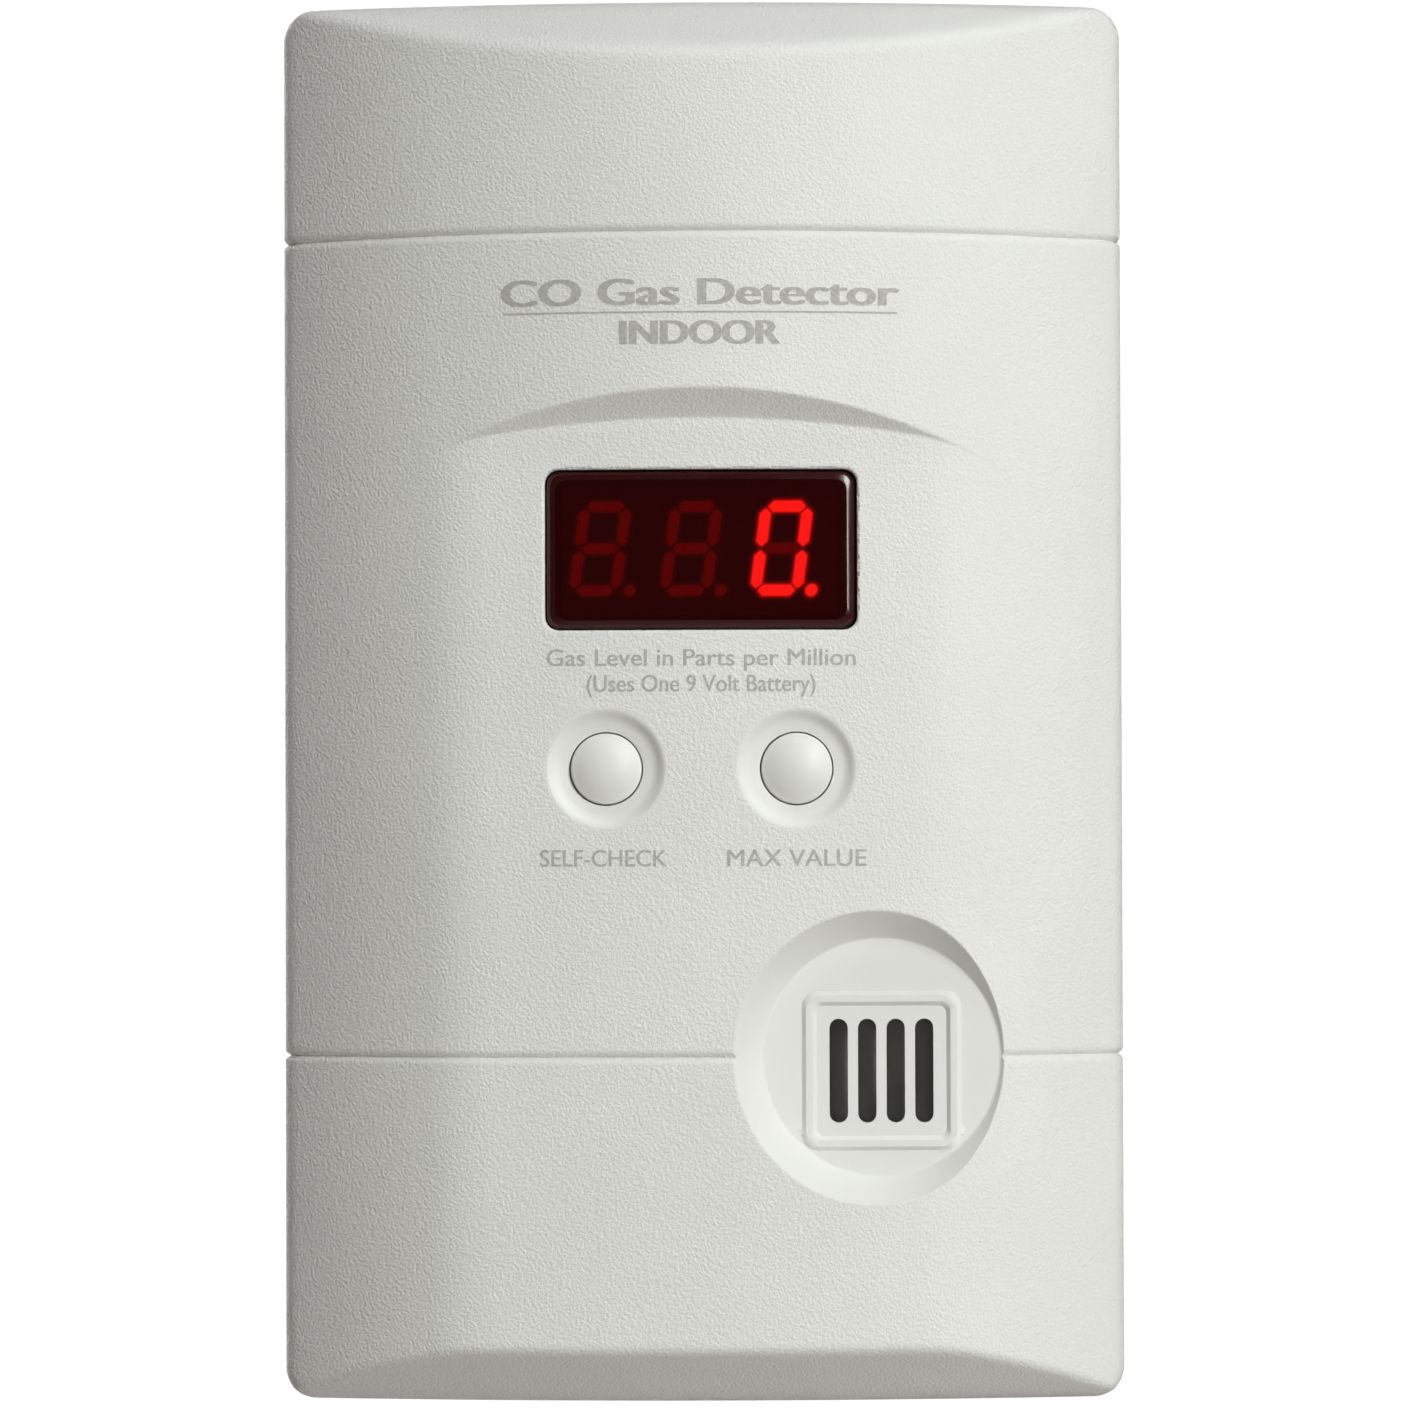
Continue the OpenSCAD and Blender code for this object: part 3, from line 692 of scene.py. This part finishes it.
def new_object(name, verts, faces, body, material, angle=35):
    """A smooth-shaded mesh piece, from millimetres, that rides on a body."""
    mesh = bpy.data.meshes.new(name)
    mesh.from_pydata([tuple(v) for v in np.asarray(verts) * MM], [], faces)
    mesh.validate()
    mesh.update()
    mesh.polygons.foreach_set("use_smooth", [True] * len(mesh.polygons))
    mesh.set_sharp_from_angle(angle=math.radians(angle))
    mesh.materials.append(material)
    piece = bpy.data.objects.new(name, mesh)
    bpy.context.scene.collection.objects.link(piece)
    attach(piece, body)
    return piece


def polish_mask(piece):
    """Marks where the moulding is polished instead of textured."""
    mesh = piece.data
    co = np.empty(len(mesh.vertices) * 3)
    mesh.vertices.foreach_get("co", co)
    co = co.reshape(-1, 3) / MM
    x, y, z = co[:, 0], co[:, 1], co[:, 2]
    dish = 1 - step(DISH_R - 0.4, DISH_R + 0.5, dish_radius(x, z))
    body = plain_face(np.clip(x, -HALF_W, HALF_W), z)
    deep = step(-0.1, 0.35, (y - APEX) - body - groove(x, z))
    near = 1 - step(HORN_REACH, HORN_REACH + 1, np.hypot(x - HORN_X, z - HORN_Z))
    mask = np.maximum(dish, deep * near)
    layer = mesh.attributes.new("polish", "FLOAT", "POINT")
    layer.data.foreach_set("value", mask.astype(np.float32))


# ---------------------------------------------------------------- materials


def node_tree(name):
    """A new material with nothing in it but its output."""
    material = bpy.data.materials.new(name)
    material.use_nodes = True
    tree = material.node_tree
    tree.nodes.clear()
    out = tree.nodes.new("ShaderNodeOutputMaterial")
    return material, tree, out


def add(tree, kind, **settings):
    """A shader node, with its properties set by name."""
    node = tree.nodes.new("ShaderNode" + kind)
    for key, value in settings.items():
        setattr(node, key, value)
    return node


def principled(tree, out, color, roughness, **more):
    """A principled shader, linked to the material's output."""
    shader = add(tree, "BsdfPrincipled")
    shader.inputs["Base Color"].default_value = (*color, 1)
    shader.inputs["Roughness"].default_value = roughness
    for key, value in more.items():
        shader.inputs[key.replace("_", " ")].default_value = value
    tree.links.new(shader.outputs[0], out.inputs["Surface"])
    return shader


def noise(tree, coords, scale, detail=2.0, roughness=0.5):
    """Noise that is fixed to the piece."""
    node = add(tree, "TexNoise")
    node.inputs["Scale"].default_value = scale
    node.inputs["Detail"].default_value = detail
    node.inputs["Roughness"].default_value = roughness
    tree.links.new(coords.outputs["Object"], node.inputs["Vector"])
    return node


def ramp(tree, source, low, high, out_low, out_high):
    """Carries a value from one range to another."""
    node = add(tree, "MapRange")
    for key, value in (("From Min", low), ("From Max", high), ("To Min", out_low),
                       ("To Max", out_high)):
        node.inputs[key].default_value = value
    tree.links.new(source, node.inputs["Value"])
    return node.outputs["Result"]


def tint(tree, source, dark, light):
    """Mixes two colours by a value."""
    node = add(tree, "ValToRGB")
    node.color_ramp.elements[0].color = (*dark, 1)
    node.color_ramp.elements[1].color = (*light, 1)
    node.color_ramp.elements[0].position = 0.3
    node.color_ramp.elements[1].position = 0.7
    tree.links.new(source, node.inputs["Fac"])
    return node.outputs["Color"]


def bump(tree, shader, height, strength, distance):
    """Relief on a shader, with a number or another node's output as its strength."""
    node = add(tree, "Bump")
    node.inputs["Distance"].default_value = distance
    if isinstance(strength, float):
        node.inputs["Strength"].default_value = strength
    else:
        tree.links.new(strength, node.inputs["Strength"])
    tree.links.new(height, node.inputs["Height"])
    tree.links.new(node.outputs[0], shader.inputs["Normal"])


def moulded(name, color, roughness, grain=0.5, grain_scale=2100.0, grain_depth=0.00012,
            masked=False, spread=0.02, **more):
    """Moulded plastic: spark-eroded grain, slight colour drift and handling marks in the gloss."""
    material, tree, out = node_tree(name)
    shader = principled(tree, out, color, roughness, **more)
    coords = add(tree, "TexCoord")
    drift = noise(tree, coords, 45.0, 3.0)
    light = tuple(min(1, c * (1 + spread)) for c in color)
    dark = tuple(c * (1 - spread) for c in color)
    tree.links.new(tint(tree, drift.outputs[0], dark, light), shader.inputs["Base Color"])
    marks = noise(tree, coords, 160.0, 4.0, 0.6)
    tree.links.new(ramp(tree, marks.outputs[0], 0.3, 0.7, roughness - 0.05, roughness + 0.06),
                   shader.inputs["Roughness"])
    fine = noise(tree, coords, grain_scale, 2.0, 0.55)
    strength = float(grain)
    if masked:
        mask = add(tree, "Attribute", attribute_name="polish")
        strength = ramp(tree, mask.outputs["Fac"], 0.0, 1.0, float(grain), float(grain) * 0.06)
    bump(tree, shader, fine.outputs[0], strength, grain_depth)
    return material


def metal(name, color, roughness, brushed=False, scratch=0.12):
    """Bare metal with fine scratches, brushed along X where asked, and dull patches."""
    material, tree, out = node_tree(name)
    shader = principled(tree, out, color, roughness, Metallic=1.0)
    coords = add(tree, "TexCoord")
    dull = noise(tree, coords, 240.0, 3.0)
    tree.links.new(ramp(tree, dull.outputs[0], 0.3, 0.7, roughness * 0.75, roughness * 1.35),
                   shader.inputs["Roughness"])
    tree.links.new(tint(tree, dull.outputs[0], tuple(c * 0.86 for c in color), color),
                   shader.inputs["Base Color"])
    stretch = add(tree, "Mapping")
    stretch.inputs["Scale"].default_value = (40, 900, 900) if brushed else (700, 700, 700)
    tree.links.new(coords.outputs["Object"], stretch.inputs["Vector"])
    lines = add(tree, "TexNoise")
    lines.inputs["Scale"].default_value = 6.0
    tree.links.new(stretch.outputs[0], lines.inputs["Vector"])
    bump(tree, shader, lines.outputs[0], float(scratch), 0.00005)
    return material


def glowing(name, color, strength):
    """A lit segment's light, slightly uneven."""
    material, tree, out = node_tree(name)
    shader = principled(tree, out, (0.3, 0.01, 0.01), 0.4)
    coords = add(tree, "TexCoord")
    uneven = noise(tree, coords, 700.0, 1.0)
    tree.links.new(tint(tree, uneven.outputs[0], tuple(c * 0.9 for c in color), color),
                   shader.inputs["Emission Color"])
    shader.inputs["Emission Strength"].default_value = strength
    return material


def faded(material):
    """Lets a material fade out where its piece's glow value falls."""
    tree = material.node_tree
    out = next(node for node in tree.nodes if node.type == "OUTPUT_MATERIAL")
    shader = out.inputs["Surface"].links[0].from_node
    clear = add(tree, "BsdfTransparent")
    glow = add(tree, "Attribute", attribute_name="glow")
    mix = add(tree, "MixShader")
    tree.links.new(glow.outputs["Fac"], mix.inputs[0])
    tree.links.new(clear.outputs[0], mix.inputs[1])
    tree.links.new(shader.outputs[0], mix.inputs[2])
    tree.links.new(mix.outputs[0], out.inputs["Surface"])
    return material


def smoked(name):
    """Dark red acrylic: mostly absorbs, with a polished surface."""
    material, tree, out = node_tree(name)
    through = add(tree, "BsdfTransparent")
    through.inputs["Color"].default_value = (0.62, 0.03, 0.03, 1)
    body = principled(tree, out, (0.045, 0.0002, 0.0005), 0.09)
    coords = add(tree, "TexCoord")
    haze = noise(tree, coords, 300.0, 3.0)
    tree.links.new(ramp(tree, haze.outputs[0], 0.3, 0.7, 0.06, 0.13), body.inputs["Roughness"])
    waves = noise(tree, coords, 60.0, 1.0)
    bump(tree, body, waves.outputs[0], 0.04, 0.0002)
    mix = add(tree, "MixShader")
    mix.inputs["Fac"].default_value = 0.42
    tree.links.new(through.outputs[0], mix.inputs[1])
    tree.links.new(body.outputs[0], mix.inputs[2])
    tree.links.new(mix.outputs[0], out.inputs["Surface"])
    return material


def ink(name, color):
    """Pad print: matt, slightly thin in places."""
    material, tree, out = node_tree(name)
    shader = principled(tree, out, color, 0.7)
    coords = add(tree, "TexCoord")
    thin = noise(tree, coords, 2600.0, 2.0)
    tree.links.new(tint(tree, thin.outputs[0], color, tuple(min(1, c * 1.35) for c in color)),
                   shader.inputs["Base Color"])
    bump(tree, shader, thin.outputs[0], 0.3, 0.00008)
    return material


WHITE = (0.80, 0.797, 0.775)
MATERIALS = {
    "shell": moulded("shell_plastic", WHITE, 0.55, grain=0.9, grain_scale=3000.0,
                     grain_depth=0.00017, masked=True),
    "shell_smooth": moulded("shell_smooth_plastic", WHITE, 0.5, grain=0.25, grain_scale=1500.0),
    "button": moulded("button_plastic", (0.80, 0.795, 0.77), 0.42, grain=0.03,
                      Specular_IOR_Level=0.35),
    "lens": smoked("lens_acrylic"),
    # Dark red acrylic on the pane's outer roll; its browner, lighter tone than the pane is painted
    # reflection of the steep edge
    "lens_rim": moulded("lens_rim_acrylic_painted_reflection", (0.045, 0.007, 0.005), 0.2, grain=0.05),
    "lens_bevel": moulded("lens_bevel_acrylic", (0.03, 0.001, 0.001), 0.17, grain=0.03),
    "black_plastic": moulded("black_plastic", (0.02, 0.019, 0.019), 0.5, grain=0.3),
    "module": moulded("display_potting", (0.012, 0.006, 0.006), 0.6, grain=0.1),
    "segment_lit": faded(glowing("lit_segment", (1.0, 0.16, 0.12), 3.2)),
    "segment_dark": faded(moulded("dark_segment", (0.66, 0.02, 0.02), 0.5, grain=0.1)),
    "plunger": moulded("plunger_plastic", (0.20, 0.07, 0.02), 0.45, grain=0.2),
    "circuit_board": moulded("solder_mask", (0.015, 0.11, 0.04), 0.3, grain=0.25, spread=0.15),
    "tinned": metal("tinned_wire", (0.72, 0.72, 0.70), 0.25),
    "screw": metal("zinc_screw", (0.60, 0.60, 0.59), 0.32, scratch=0.25),
    "ceramic_disc": metal("piezo_brass", (0.27, 0.26, 0.25), 0.36, brushed=True),
    "sensor_metal": metal("sensor_steel", (0.62, 0.62, 0.61), 0.3, brushed=True),
    "filter": moulded("filter_cap", (0.75, 0.75, 0.73), 0.6, grain=0.6),
    "gold": metal("gold_pin", (0.82, 0.60, 0.22), 0.2),
    "chip": moulded("chip_moulding", (0.025, 0.025, 0.028), 0.6, grain=0.5),
    "sleeve": moulded("capacitor_sleeve", (0.02, 0.03, 0.09), 0.3, grain=0.1),
    "lead": moulded("lead_insulation", (0.03, 0.03, 0.03), 0.5, grain=0.2),
    "blade": metal("blade_metal", (0.74, 0.66, 0.46), 0.22, brushed=True, scratch=0.3),
    "lamination": metal("laminated_steel", (0.28, 0.28, 0.29), 0.45, brushed=True, scratch=0.5),
    "winding": moulded("taped_winding", (0.55, 0.28, 0.03), 0.45, grain=0.4),
    "battery_jacket": moulded("battery_jacket", (0.03, 0.032, 0.036), 0.25, grain=0.08),
    "snap": metal("snap_metal", (0.66, 0.66, 0.64), 0.25),
    "contact": metal("contact_brass", (0.70, 0.52, 0.22), 0.3),
    "label": moulded("label_paper", (0.62, 0.62, 0.61), 0.6, grain=0.15),
}
PRINT = ink("grey_print", (0.40, 0.385, 0.375))

# ---------------------------------------------------------------- pieces


def dress_frame():
    """Every CAD piece takes its slot's material, the plain rear mouldings a smoother one."""
    slots = {s["node"]: s["material_slot"] for s in frame["record"]["subparts"]}
    smooth = ("adapter_case", "adapter_cover", "battery_door")
    for node, piece in NODES.items():
        key = "shell_smooth" if node in smooth else slots[node]
        piece.data.materials.clear()
        piece.data.materials.append(MATERIALS[key])


def front_cover():
    """The front shell, textured outside and polished in its dishes and recess."""
    verts, faces = front_mesh()
    piece = new_object("front_shell", verts, faces, "housing", MATERIALS["shell"])
    polish_mask(piece)
    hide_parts("front_cover")


def lathe(profile, centre, segments=96):
    """Rings of (radius, depth) turned about the Y axis through centre (x, z)."""
    verts = []
    for r, y in profile:
        for i in range(segments):
            a = 2 * math.pi * i / segments
            verts.append((centre[0] + r * math.cos(a), y, centre[1] + r * math.sin(a)))
    last = len(verts) - segments
    faces = ring_faces(0, segments, len(profile))
    faces += [tuple(range(segments)), tuple(range(len(verts) - 1, last - 1, -1))]
    return verts, faces


def button(node, body, x):
    """A domed key with a rounded edge over its flange."""
    low, high = box_mm(node)
    top, foot = low[1], high[1]
    crest_r = BUTTON_R - BUTTON_RIM
    rings = 14
    steps = 5
    profile = [(0.02, top)]
    for i in range(1, rings + 1):
        r = crest_r * i / rings
        profile.append((r, top + BUTTON_DOME - math.sqrt(BUTTON_DOME ** 2 - r ** 2)))
    edge_y = profile[-1][1] + 0.02
    for i in range(1, steps + 1):
        a = math.pi / 2 * i / steps
        profile.append((crest_r + BUTTON_RIM * math.sin(a), edge_y + BUTTON_RIM * (1 - math.cos(a))))
    profile += [(BUTTON_R, foot - FLANGE_T), (FLANGE_R, foot - FLANGE_T), (FLANGE_R, foot),
                (STEM_R, foot)]
    verts, faces = lathe(profile, (x, BUTTON_Z))
    piece = new_object(node + "_cap", verts, faces, body, MATERIALS["button"], 50)
    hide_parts(node)


def pane_point(x, z, fall):
    """A point of the pane, which is bowed like the shelf round it."""
    return x, LENS_LOW[1] + fall + bowed(SHELF_R, x) + PANE_BACK, z


def pane_rings():
    """The pane's rings from its back edge to its front, and the number of points in each."""
    half_w = WINDOW_W / 2 - PANE_GAP
    half_h = WINDOW_H / 2 - PANE_GAP
    loop = rounded_loop(2 * half_w, 2 * half_h, PANE_R, 0.8)
    verts = []
    for inset, fall in PANE_ROWS:
        scale_x = (half_w - inset) / half_w
        scale_z = (half_h - inset) / half_h
        verts += [pane_point(p[0] * scale_x, WINDOW_Z + p[1] * scale_z, fall) for p in loop]
    return verts, len(loop)


def lens():
    """The smoked window: a pillow-edged pane over the display."""
    verts, count = pane_rings()
    faces = ring_faces(0, count, len(PANE_ROWS))
    rim_faces = count * PANE_RIM_ROWS
    bevel_faces = count * (len(PANE_ROWS) - 2)
    flat = [Vector((v[0], v[2])) for v in verts[-count:]]
    half_w, half_h = PANE_MIDDLE
    for p in grid(-half_w, half_w, WINDOW_Z - half_h, WINDOW_Z + half_h, 1.2, 1.7):
        if abs(p[0]) < half_w + 0.1:
            flat.append(Vector((p[0], p[1])))
    result = delaunay_2d_cdt(flat, loop_edges(0, count), [], 1, 1e-5)
    start = len(verts)
    verts += [pane_point(v.x, v.y, PANE_ROWS[-1][1]) for v in result[0]]
    faces += [tuple(start + i for i in f) for f in result[2]]
    piece = new_object("window_pane", verts, faces, "housing", MATERIALS["lens"], 60)
    # The outer rows of the edge take the rim material: dark red acrylic with a painted reflection in
    # its brown tone
    piece.data.materials.append(MATERIALS["lens_rim"])
    piece.data.materials.append(MATERIALS["lens_bevel"])
    for polygon in piece.data.polygons[:bevel_faces]:
        polygon.material_index = 1 if polygon.index < rim_faces else 2
    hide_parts("display_lens")


def battery():
    """A nine-volt battery: a dark jacket between two rolled metal ends."""
    low, high = box_mm("battery_case")
    middle = (low + high) / 2
    size = high - low
    rings = [(low[0] + d, inset) for d, inset in BATTERY_END]
    rings += [(high[0] - d, inset) for d, inset in reversed(BATTERY_END)]
    loop = rounded_loop(size[1], size[2], BATTERY_R, 1.2)
    count = len(loop)
    verts = []
    for x, inset in rings:
        scale_y = 1 - 2 * inset / size[1]
        scale_z = 1 - 2 * inset / size[2]
        verts += [(x, middle[1] + p[0] * scale_y, middle[2] + p[1] * scale_z) for p in loop]
    faces = [tuple(range(count - 1, -1, -1)), tuple(range(len(verts) - count, len(verts)))]
    faces += ring_faces(0, count, len(rings))
    piece = new_object("battery_body", verts, faces, "housing",
                       MATERIALS["battery_jacket"])
    piece.data.materials.append(MATERIALS["snap"])
    for polygon in piece.data.polygons:
        if abs(polygon.center[0] / MM - middle[0]) > size[0] / 2 - BATTERY_METAL:
            polygon.material_index = 1
    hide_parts("battery_case")


def bar_core(a, b):
    """A bar without its rounded edge: a hexagon pointed at both ends, anticlockwise."""
    a, b = np.array(a), np.array(b)
    along = (b - a) / np.linalg.norm(b - a)
    side = np.array([-along[1], along[0]])
    half = STROKE / 2 - BAR_EDGE
    gap = BAR_GAP + BAR_EDGE * math.sqrt(2)
    start = a + along * gap
    end = b - along * gap
    return [start, start + half * (along - side), end - half * (along + side), end,
            end + half * (side - along), start + half * (along + side)]


def point_core():
    """A digit's point without its rounded edge."""
    foot = (STROKE - DIGIT_H) / 2
    lean = foot * DIGIT_LEAN
    r = POINT_R - BAR_EDGE
    return [np.array([POINT_OUT - lean + r * math.cos(t), foot + r * math.sin(t)]) for t in turns(12)]


def rounded_offset(points, r, steps=4):
    """An anticlockwise outline moved outwards, with an arc at each corner."""
    loop = []
    for i, p in enumerate(points):
        before = p - points[i - 1]
        after = points[(i + 1) % len(points)] - p
        first = math.atan2(-before[0], before[1])
        turn = (math.atan2(-after[0], after[1]) - first) % (2 * math.pi)
        for k in range(steps):
            angle = first + turn * k / (steps - 1)
            loop.append((p[0] + r * math.cos(angle), p[1] + r * math.sin(angle)))
    return loop


def digit_cores(bars, point):
    """The cores of some bars of a digit, numbered clockwise from its top with the middle last."""
    w = (DIGIT_W - STROKE) / 2
    h = (DIGIT_H - STROKE) / 2
    corners = ((-w, h), (w, h), (w, 0), (w, -h), (-w, -h), (-w, 0))
    ends = ((0, 1), (1, 2), (2, 3), (4, 3), (5, 4), (0, 5), (5, 2))
    cores = [bar_core(corners[ends[i][0]], corners[ends[i][1]]) for i in bars]
    return cores + [point_core()] if point else cores


def segments(name, node, slot, digits):
    """The bars of some digits, each with a rounded edge that fades into the display's face."""
    verts = []
    faces = []
    glow = []
    for place, bars, point in digits:
        middle = DIGIT_X + (place - 1) * DIGIT_PITCH
        for order, core in enumerate(digit_cores(bars, point)):
            start = len(verts)
            for out, value, fall in GLOW_RINGS:
                loop = rounded_offset(core, out)
                y = LIT_LOW[1] + fall + BAR_STEP * order
                verts += [(middle + x + z * DIGIT_LEAN, y, DIGIT_Z + z) for x, z in loop]
                glow += [value] * len(loop)
            faces.append(tuple(range(start, start + len(loop))))
            faces += ring_faces(start, len(loop), len(GLOW_RINGS), flip=True)
    piece = new_object(name, verts, faces, "housing", MATERIALS[slot])
    layer = piece.data.attributes.new("glow", "FLOAT", "POINT")
    layer.data.foreach_set("value", glow)
    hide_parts(node)


def on_face(x, z, out):
    """Points that lie a little in front of the face."""
    return list(np.column_stack([x, APEX + face(x, z) - out, z]))


def words(name, text, width, height, z, x=0.0, bold=0.03):
    """A printed line of text, draped on the face, scaled to a width and a cap height."""
    curve = bpy.data.curves.new(name, "FONT")
    curve.body = text
    curve.align_x = "CENTER"
    curve.resolution_u = 5
    maker = bpy.data.objects.new(name + "_maker", curve)
    bpy.context.scene.collection.objects.link(maker)
    bpy.context.view_layer.update()
    mesh = bpy.data.meshes.new_from_object(maker.evaluated_get(bpy.context.evaluated_depsgraph_get()))
    bpy.data.objects.remove(maker)
    co = np.array([v.co[:] for v in mesh.vertices])
    low = co.min(axis=0)
    high = co.max(axis=0)
    px = (co[:, 0] - (low[0] + high[0]) / 2) / (high[0] - low[0]) * width + x
    pz = co[:, 1] / FONT_CAP * height + z - height / 2
    verts = []
    faces = []
    for k, shift in enumerate((0.0, bold, -bold)):
        verts += on_face(px + shift, pz, INK_OUT + INK_STEP * k)
        faces += [tuple(i + k * len(px) for i in p.vertices) for p in mesh.polygons]
    bpy.data.meshes.remove(mesh)
    new_object(name, verts, faces, "housing", PRINT)


def rule(name, half_width, low, high, count=40):
    """A printed line across the face, between two heights."""
    x = np.linspace(-half_width, half_width, count)
    verts = []
    for z in (high, low):
        verts += on_face(x, np.full_like(x, z), INK_OUT)
    faces = [(i, i + 1, count + 1 + i, count + i) for i in range(count - 1)]
    new_object(name, verts, faces, "housing", PRINT)


def printing():
    """The generic rows: width, cap height, height on the face and place across it."""
    words("print_title", "CO Gas Detector", 42.7, 3.0, 44.1, bold=0.22)
    words("print_place", "INDOOR", 17.0, 2.7, 39.7, bold=0.22)
    words("print_units", "Gas Level in Parts per Million", 33.4, 1.9, 4.7)
    words("print_battery", "(Uses One 9 Volt Battery)", 24.7, 1.9, 1.9)
    words("print_left", "SELF-CHECK", 13.7, 1.9, -17.0, -10.6)
    words("print_right", "MAX VALUE", 15.0, 1.9, -17.0, 10.3)
    rule("print_rule", 21.3, 41.7, 41.9)


# ---------------------------------------------------------------- camera, light and floor

# The camera's place in metres, its turn in degrees and its lens, and the floor in metres
EYE = (0.01212, -0.8785, -0.01726)
EYE_TURN = (91.15, 0.165, 0.81)
EYE_LENS = 198.5
FLOOR_HALF = 2.4
FLOOR_Z = -0.36


def camera():
    """The photo's view: almost square on, from below and to the right of the middle."""
    data = bpy.data.cameras.new("camera")
    data.sensor_width = 36
    data.lens = EYE_LENS
    data.clip_end = 50
    eye = bpy.data.objects.new("camera", data)
    eye.location = EYE
    eye.rotation_euler = [math.radians(angle) for angle in EYE_TURN]
    bpy.context.scene.collection.objects.link(eye)
    bpy.context.scene.camera = eye


def area_light(name, azimuth, elevation, distance, size, power, color=(1, 1, 1), spread=180,
               height=None):
    """A soft box at an angle round the object: azimuth 0 is in front, 90 is to its right."""
    data = bpy.data.lights.new(name, "AREA")
    data.shape = "RECTANGLE" if height else "DISK"
    data.size = size
    if height:
        data.size_y = height
    data.energy = power
    data.spread = math.radians(spread)
    data.color = color
    a, e = math.radians(azimuth), math.radians(elevation)
    way = Vector((math.sin(a) * math.cos(e), -math.cos(a) * math.cos(e), math.sin(e)))
    lamp = bpy.data.objects.new(name, data)
    lamp.location = way * distance
    lamp.rotation_euler = way.to_track_quat("Z", "Y").to_euler()
    bpy.context.scene.collection.objects.link(lamp)


def seen_or_lit(tree, lit, seen, out):
    """Lets the camera see one shader while everything else is lit by another."""
    path = add(tree, "LightPath")
    mix = add(tree, "MixShader")
    tree.links.new(path.outputs["Is Camera Ray"], mix.inputs[0])
    tree.links.new(lit.outputs[0], mix.inputs[1])
    tree.links.new(seen.outputs[0], mix.inputs[2])
    tree.links.new(mix.outputs[0], out.inputs["Surface"])


def white_world():
    """A white backdrop that only lights the object softly."""
    world = bpy.data.worlds.new("studio")
    bpy.context.scene.world = world
    world.use_nodes = True
    tree = world.node_tree
    tree.nodes.clear()
    out = add(tree, "OutputWorld")
    seen = add(tree, "Background")
    seen.inputs["Color"].default_value = (1, 1, 1, 1)
    seen.inputs["Strength"].default_value = 1.05
    soft = add(tree, "Background")
    soft.inputs["Color"].default_value = (1.0, 0.92, 0.885, 1)
    soft.inputs["Strength"].default_value = 0.1
    seen_or_lit(tree, soft, seen, out)


def studio():
    """Soft boxes by angle, distance, width, power and colour, and plain colour handling."""
    white_world()
    area_light("key", 33, 20, 1.6, 0.35, 4.66, (0.965, 1.0, 0.975), 80, height=1.15)
    area_light("strip", 58, 2, 1.5, 0.10, 0.22, (0.97, 1.0, 0.98), 120, height=1.3)
    area_light("top", 0, 72, 1.5, 0.6, 3.9)
    area_light("back_fill", 215, 12, 2.0, 1.2, 20.0)
    view = bpy.context.scene.view_settings
    view.view_transform = "Standard"
    view.look = "None"
    view.exposure = 0
    view.gamma = 1


def floor_paper():
    """Warm grey paper that reflects light up, but looks as white as the backdrop."""
    material, tree, out = node_tree("floor_paper")
    shader = principled(tree, out, (0.66, 0.61, 0.59), 0.9)
    coords = add(tree, "TexCoord")
    fibre = noise(tree, coords, 30.0, 4.0)
    bump(tree, shader, fibre.outputs[0], 0.05, 0.0005)
    pale = add(tree, "Emission")
    pale.inputs["Color"].default_value = (1.0, 0.975, 0.96, 1)
    pale.inputs["Strength"].default_value = 0.94
    both = add(tree, "AddShader")
    tree.links.new(shader.outputs[0], both.inputs[0])
    tree.links.new(pale.outputs[0], both.inputs[1])
    seen_or_lit(tree, shader, both, out)
    return material


def floor():
    """A level floor below the object, which hangs clear of it."""
    mesh = bpy.data.meshes.new("floor")
    signs = ((-1, -1), (1, -1), (1, 1), (-1, 1))
    corners = [(x * FLOOR_HALF, y * FLOOR_HALF, FLOOR_Z) for x, y in signs]
    mesh.from_pydata(corners, [], [(0, 1, 2, 3)])
    mesh.materials.append(floor_paper())
    ground = bpy.data.objects.new("floor", mesh)
    bpy.context.scene.collection.objects.link(ground)


# ---------------------------------------------------------------- making it

camera()
studio()
floor()
dress_frame()
front_cover()
button("test_button", "test_key", -BUTTON_X)
button("peak_button", "peak_key", BUTTON_X)
lens()
battery()
segments("lit_bars", "lit_segments", "segment_lit", ((1, (0, 1, 2, 3, 4, 5), True),))
segments("dark_bars", "dark_segments", "segment_dark",
         ((-1, range(7), True), (0, range(7), True), (1, (6,), False)))
printing()
bpy.context.view_layer.update()
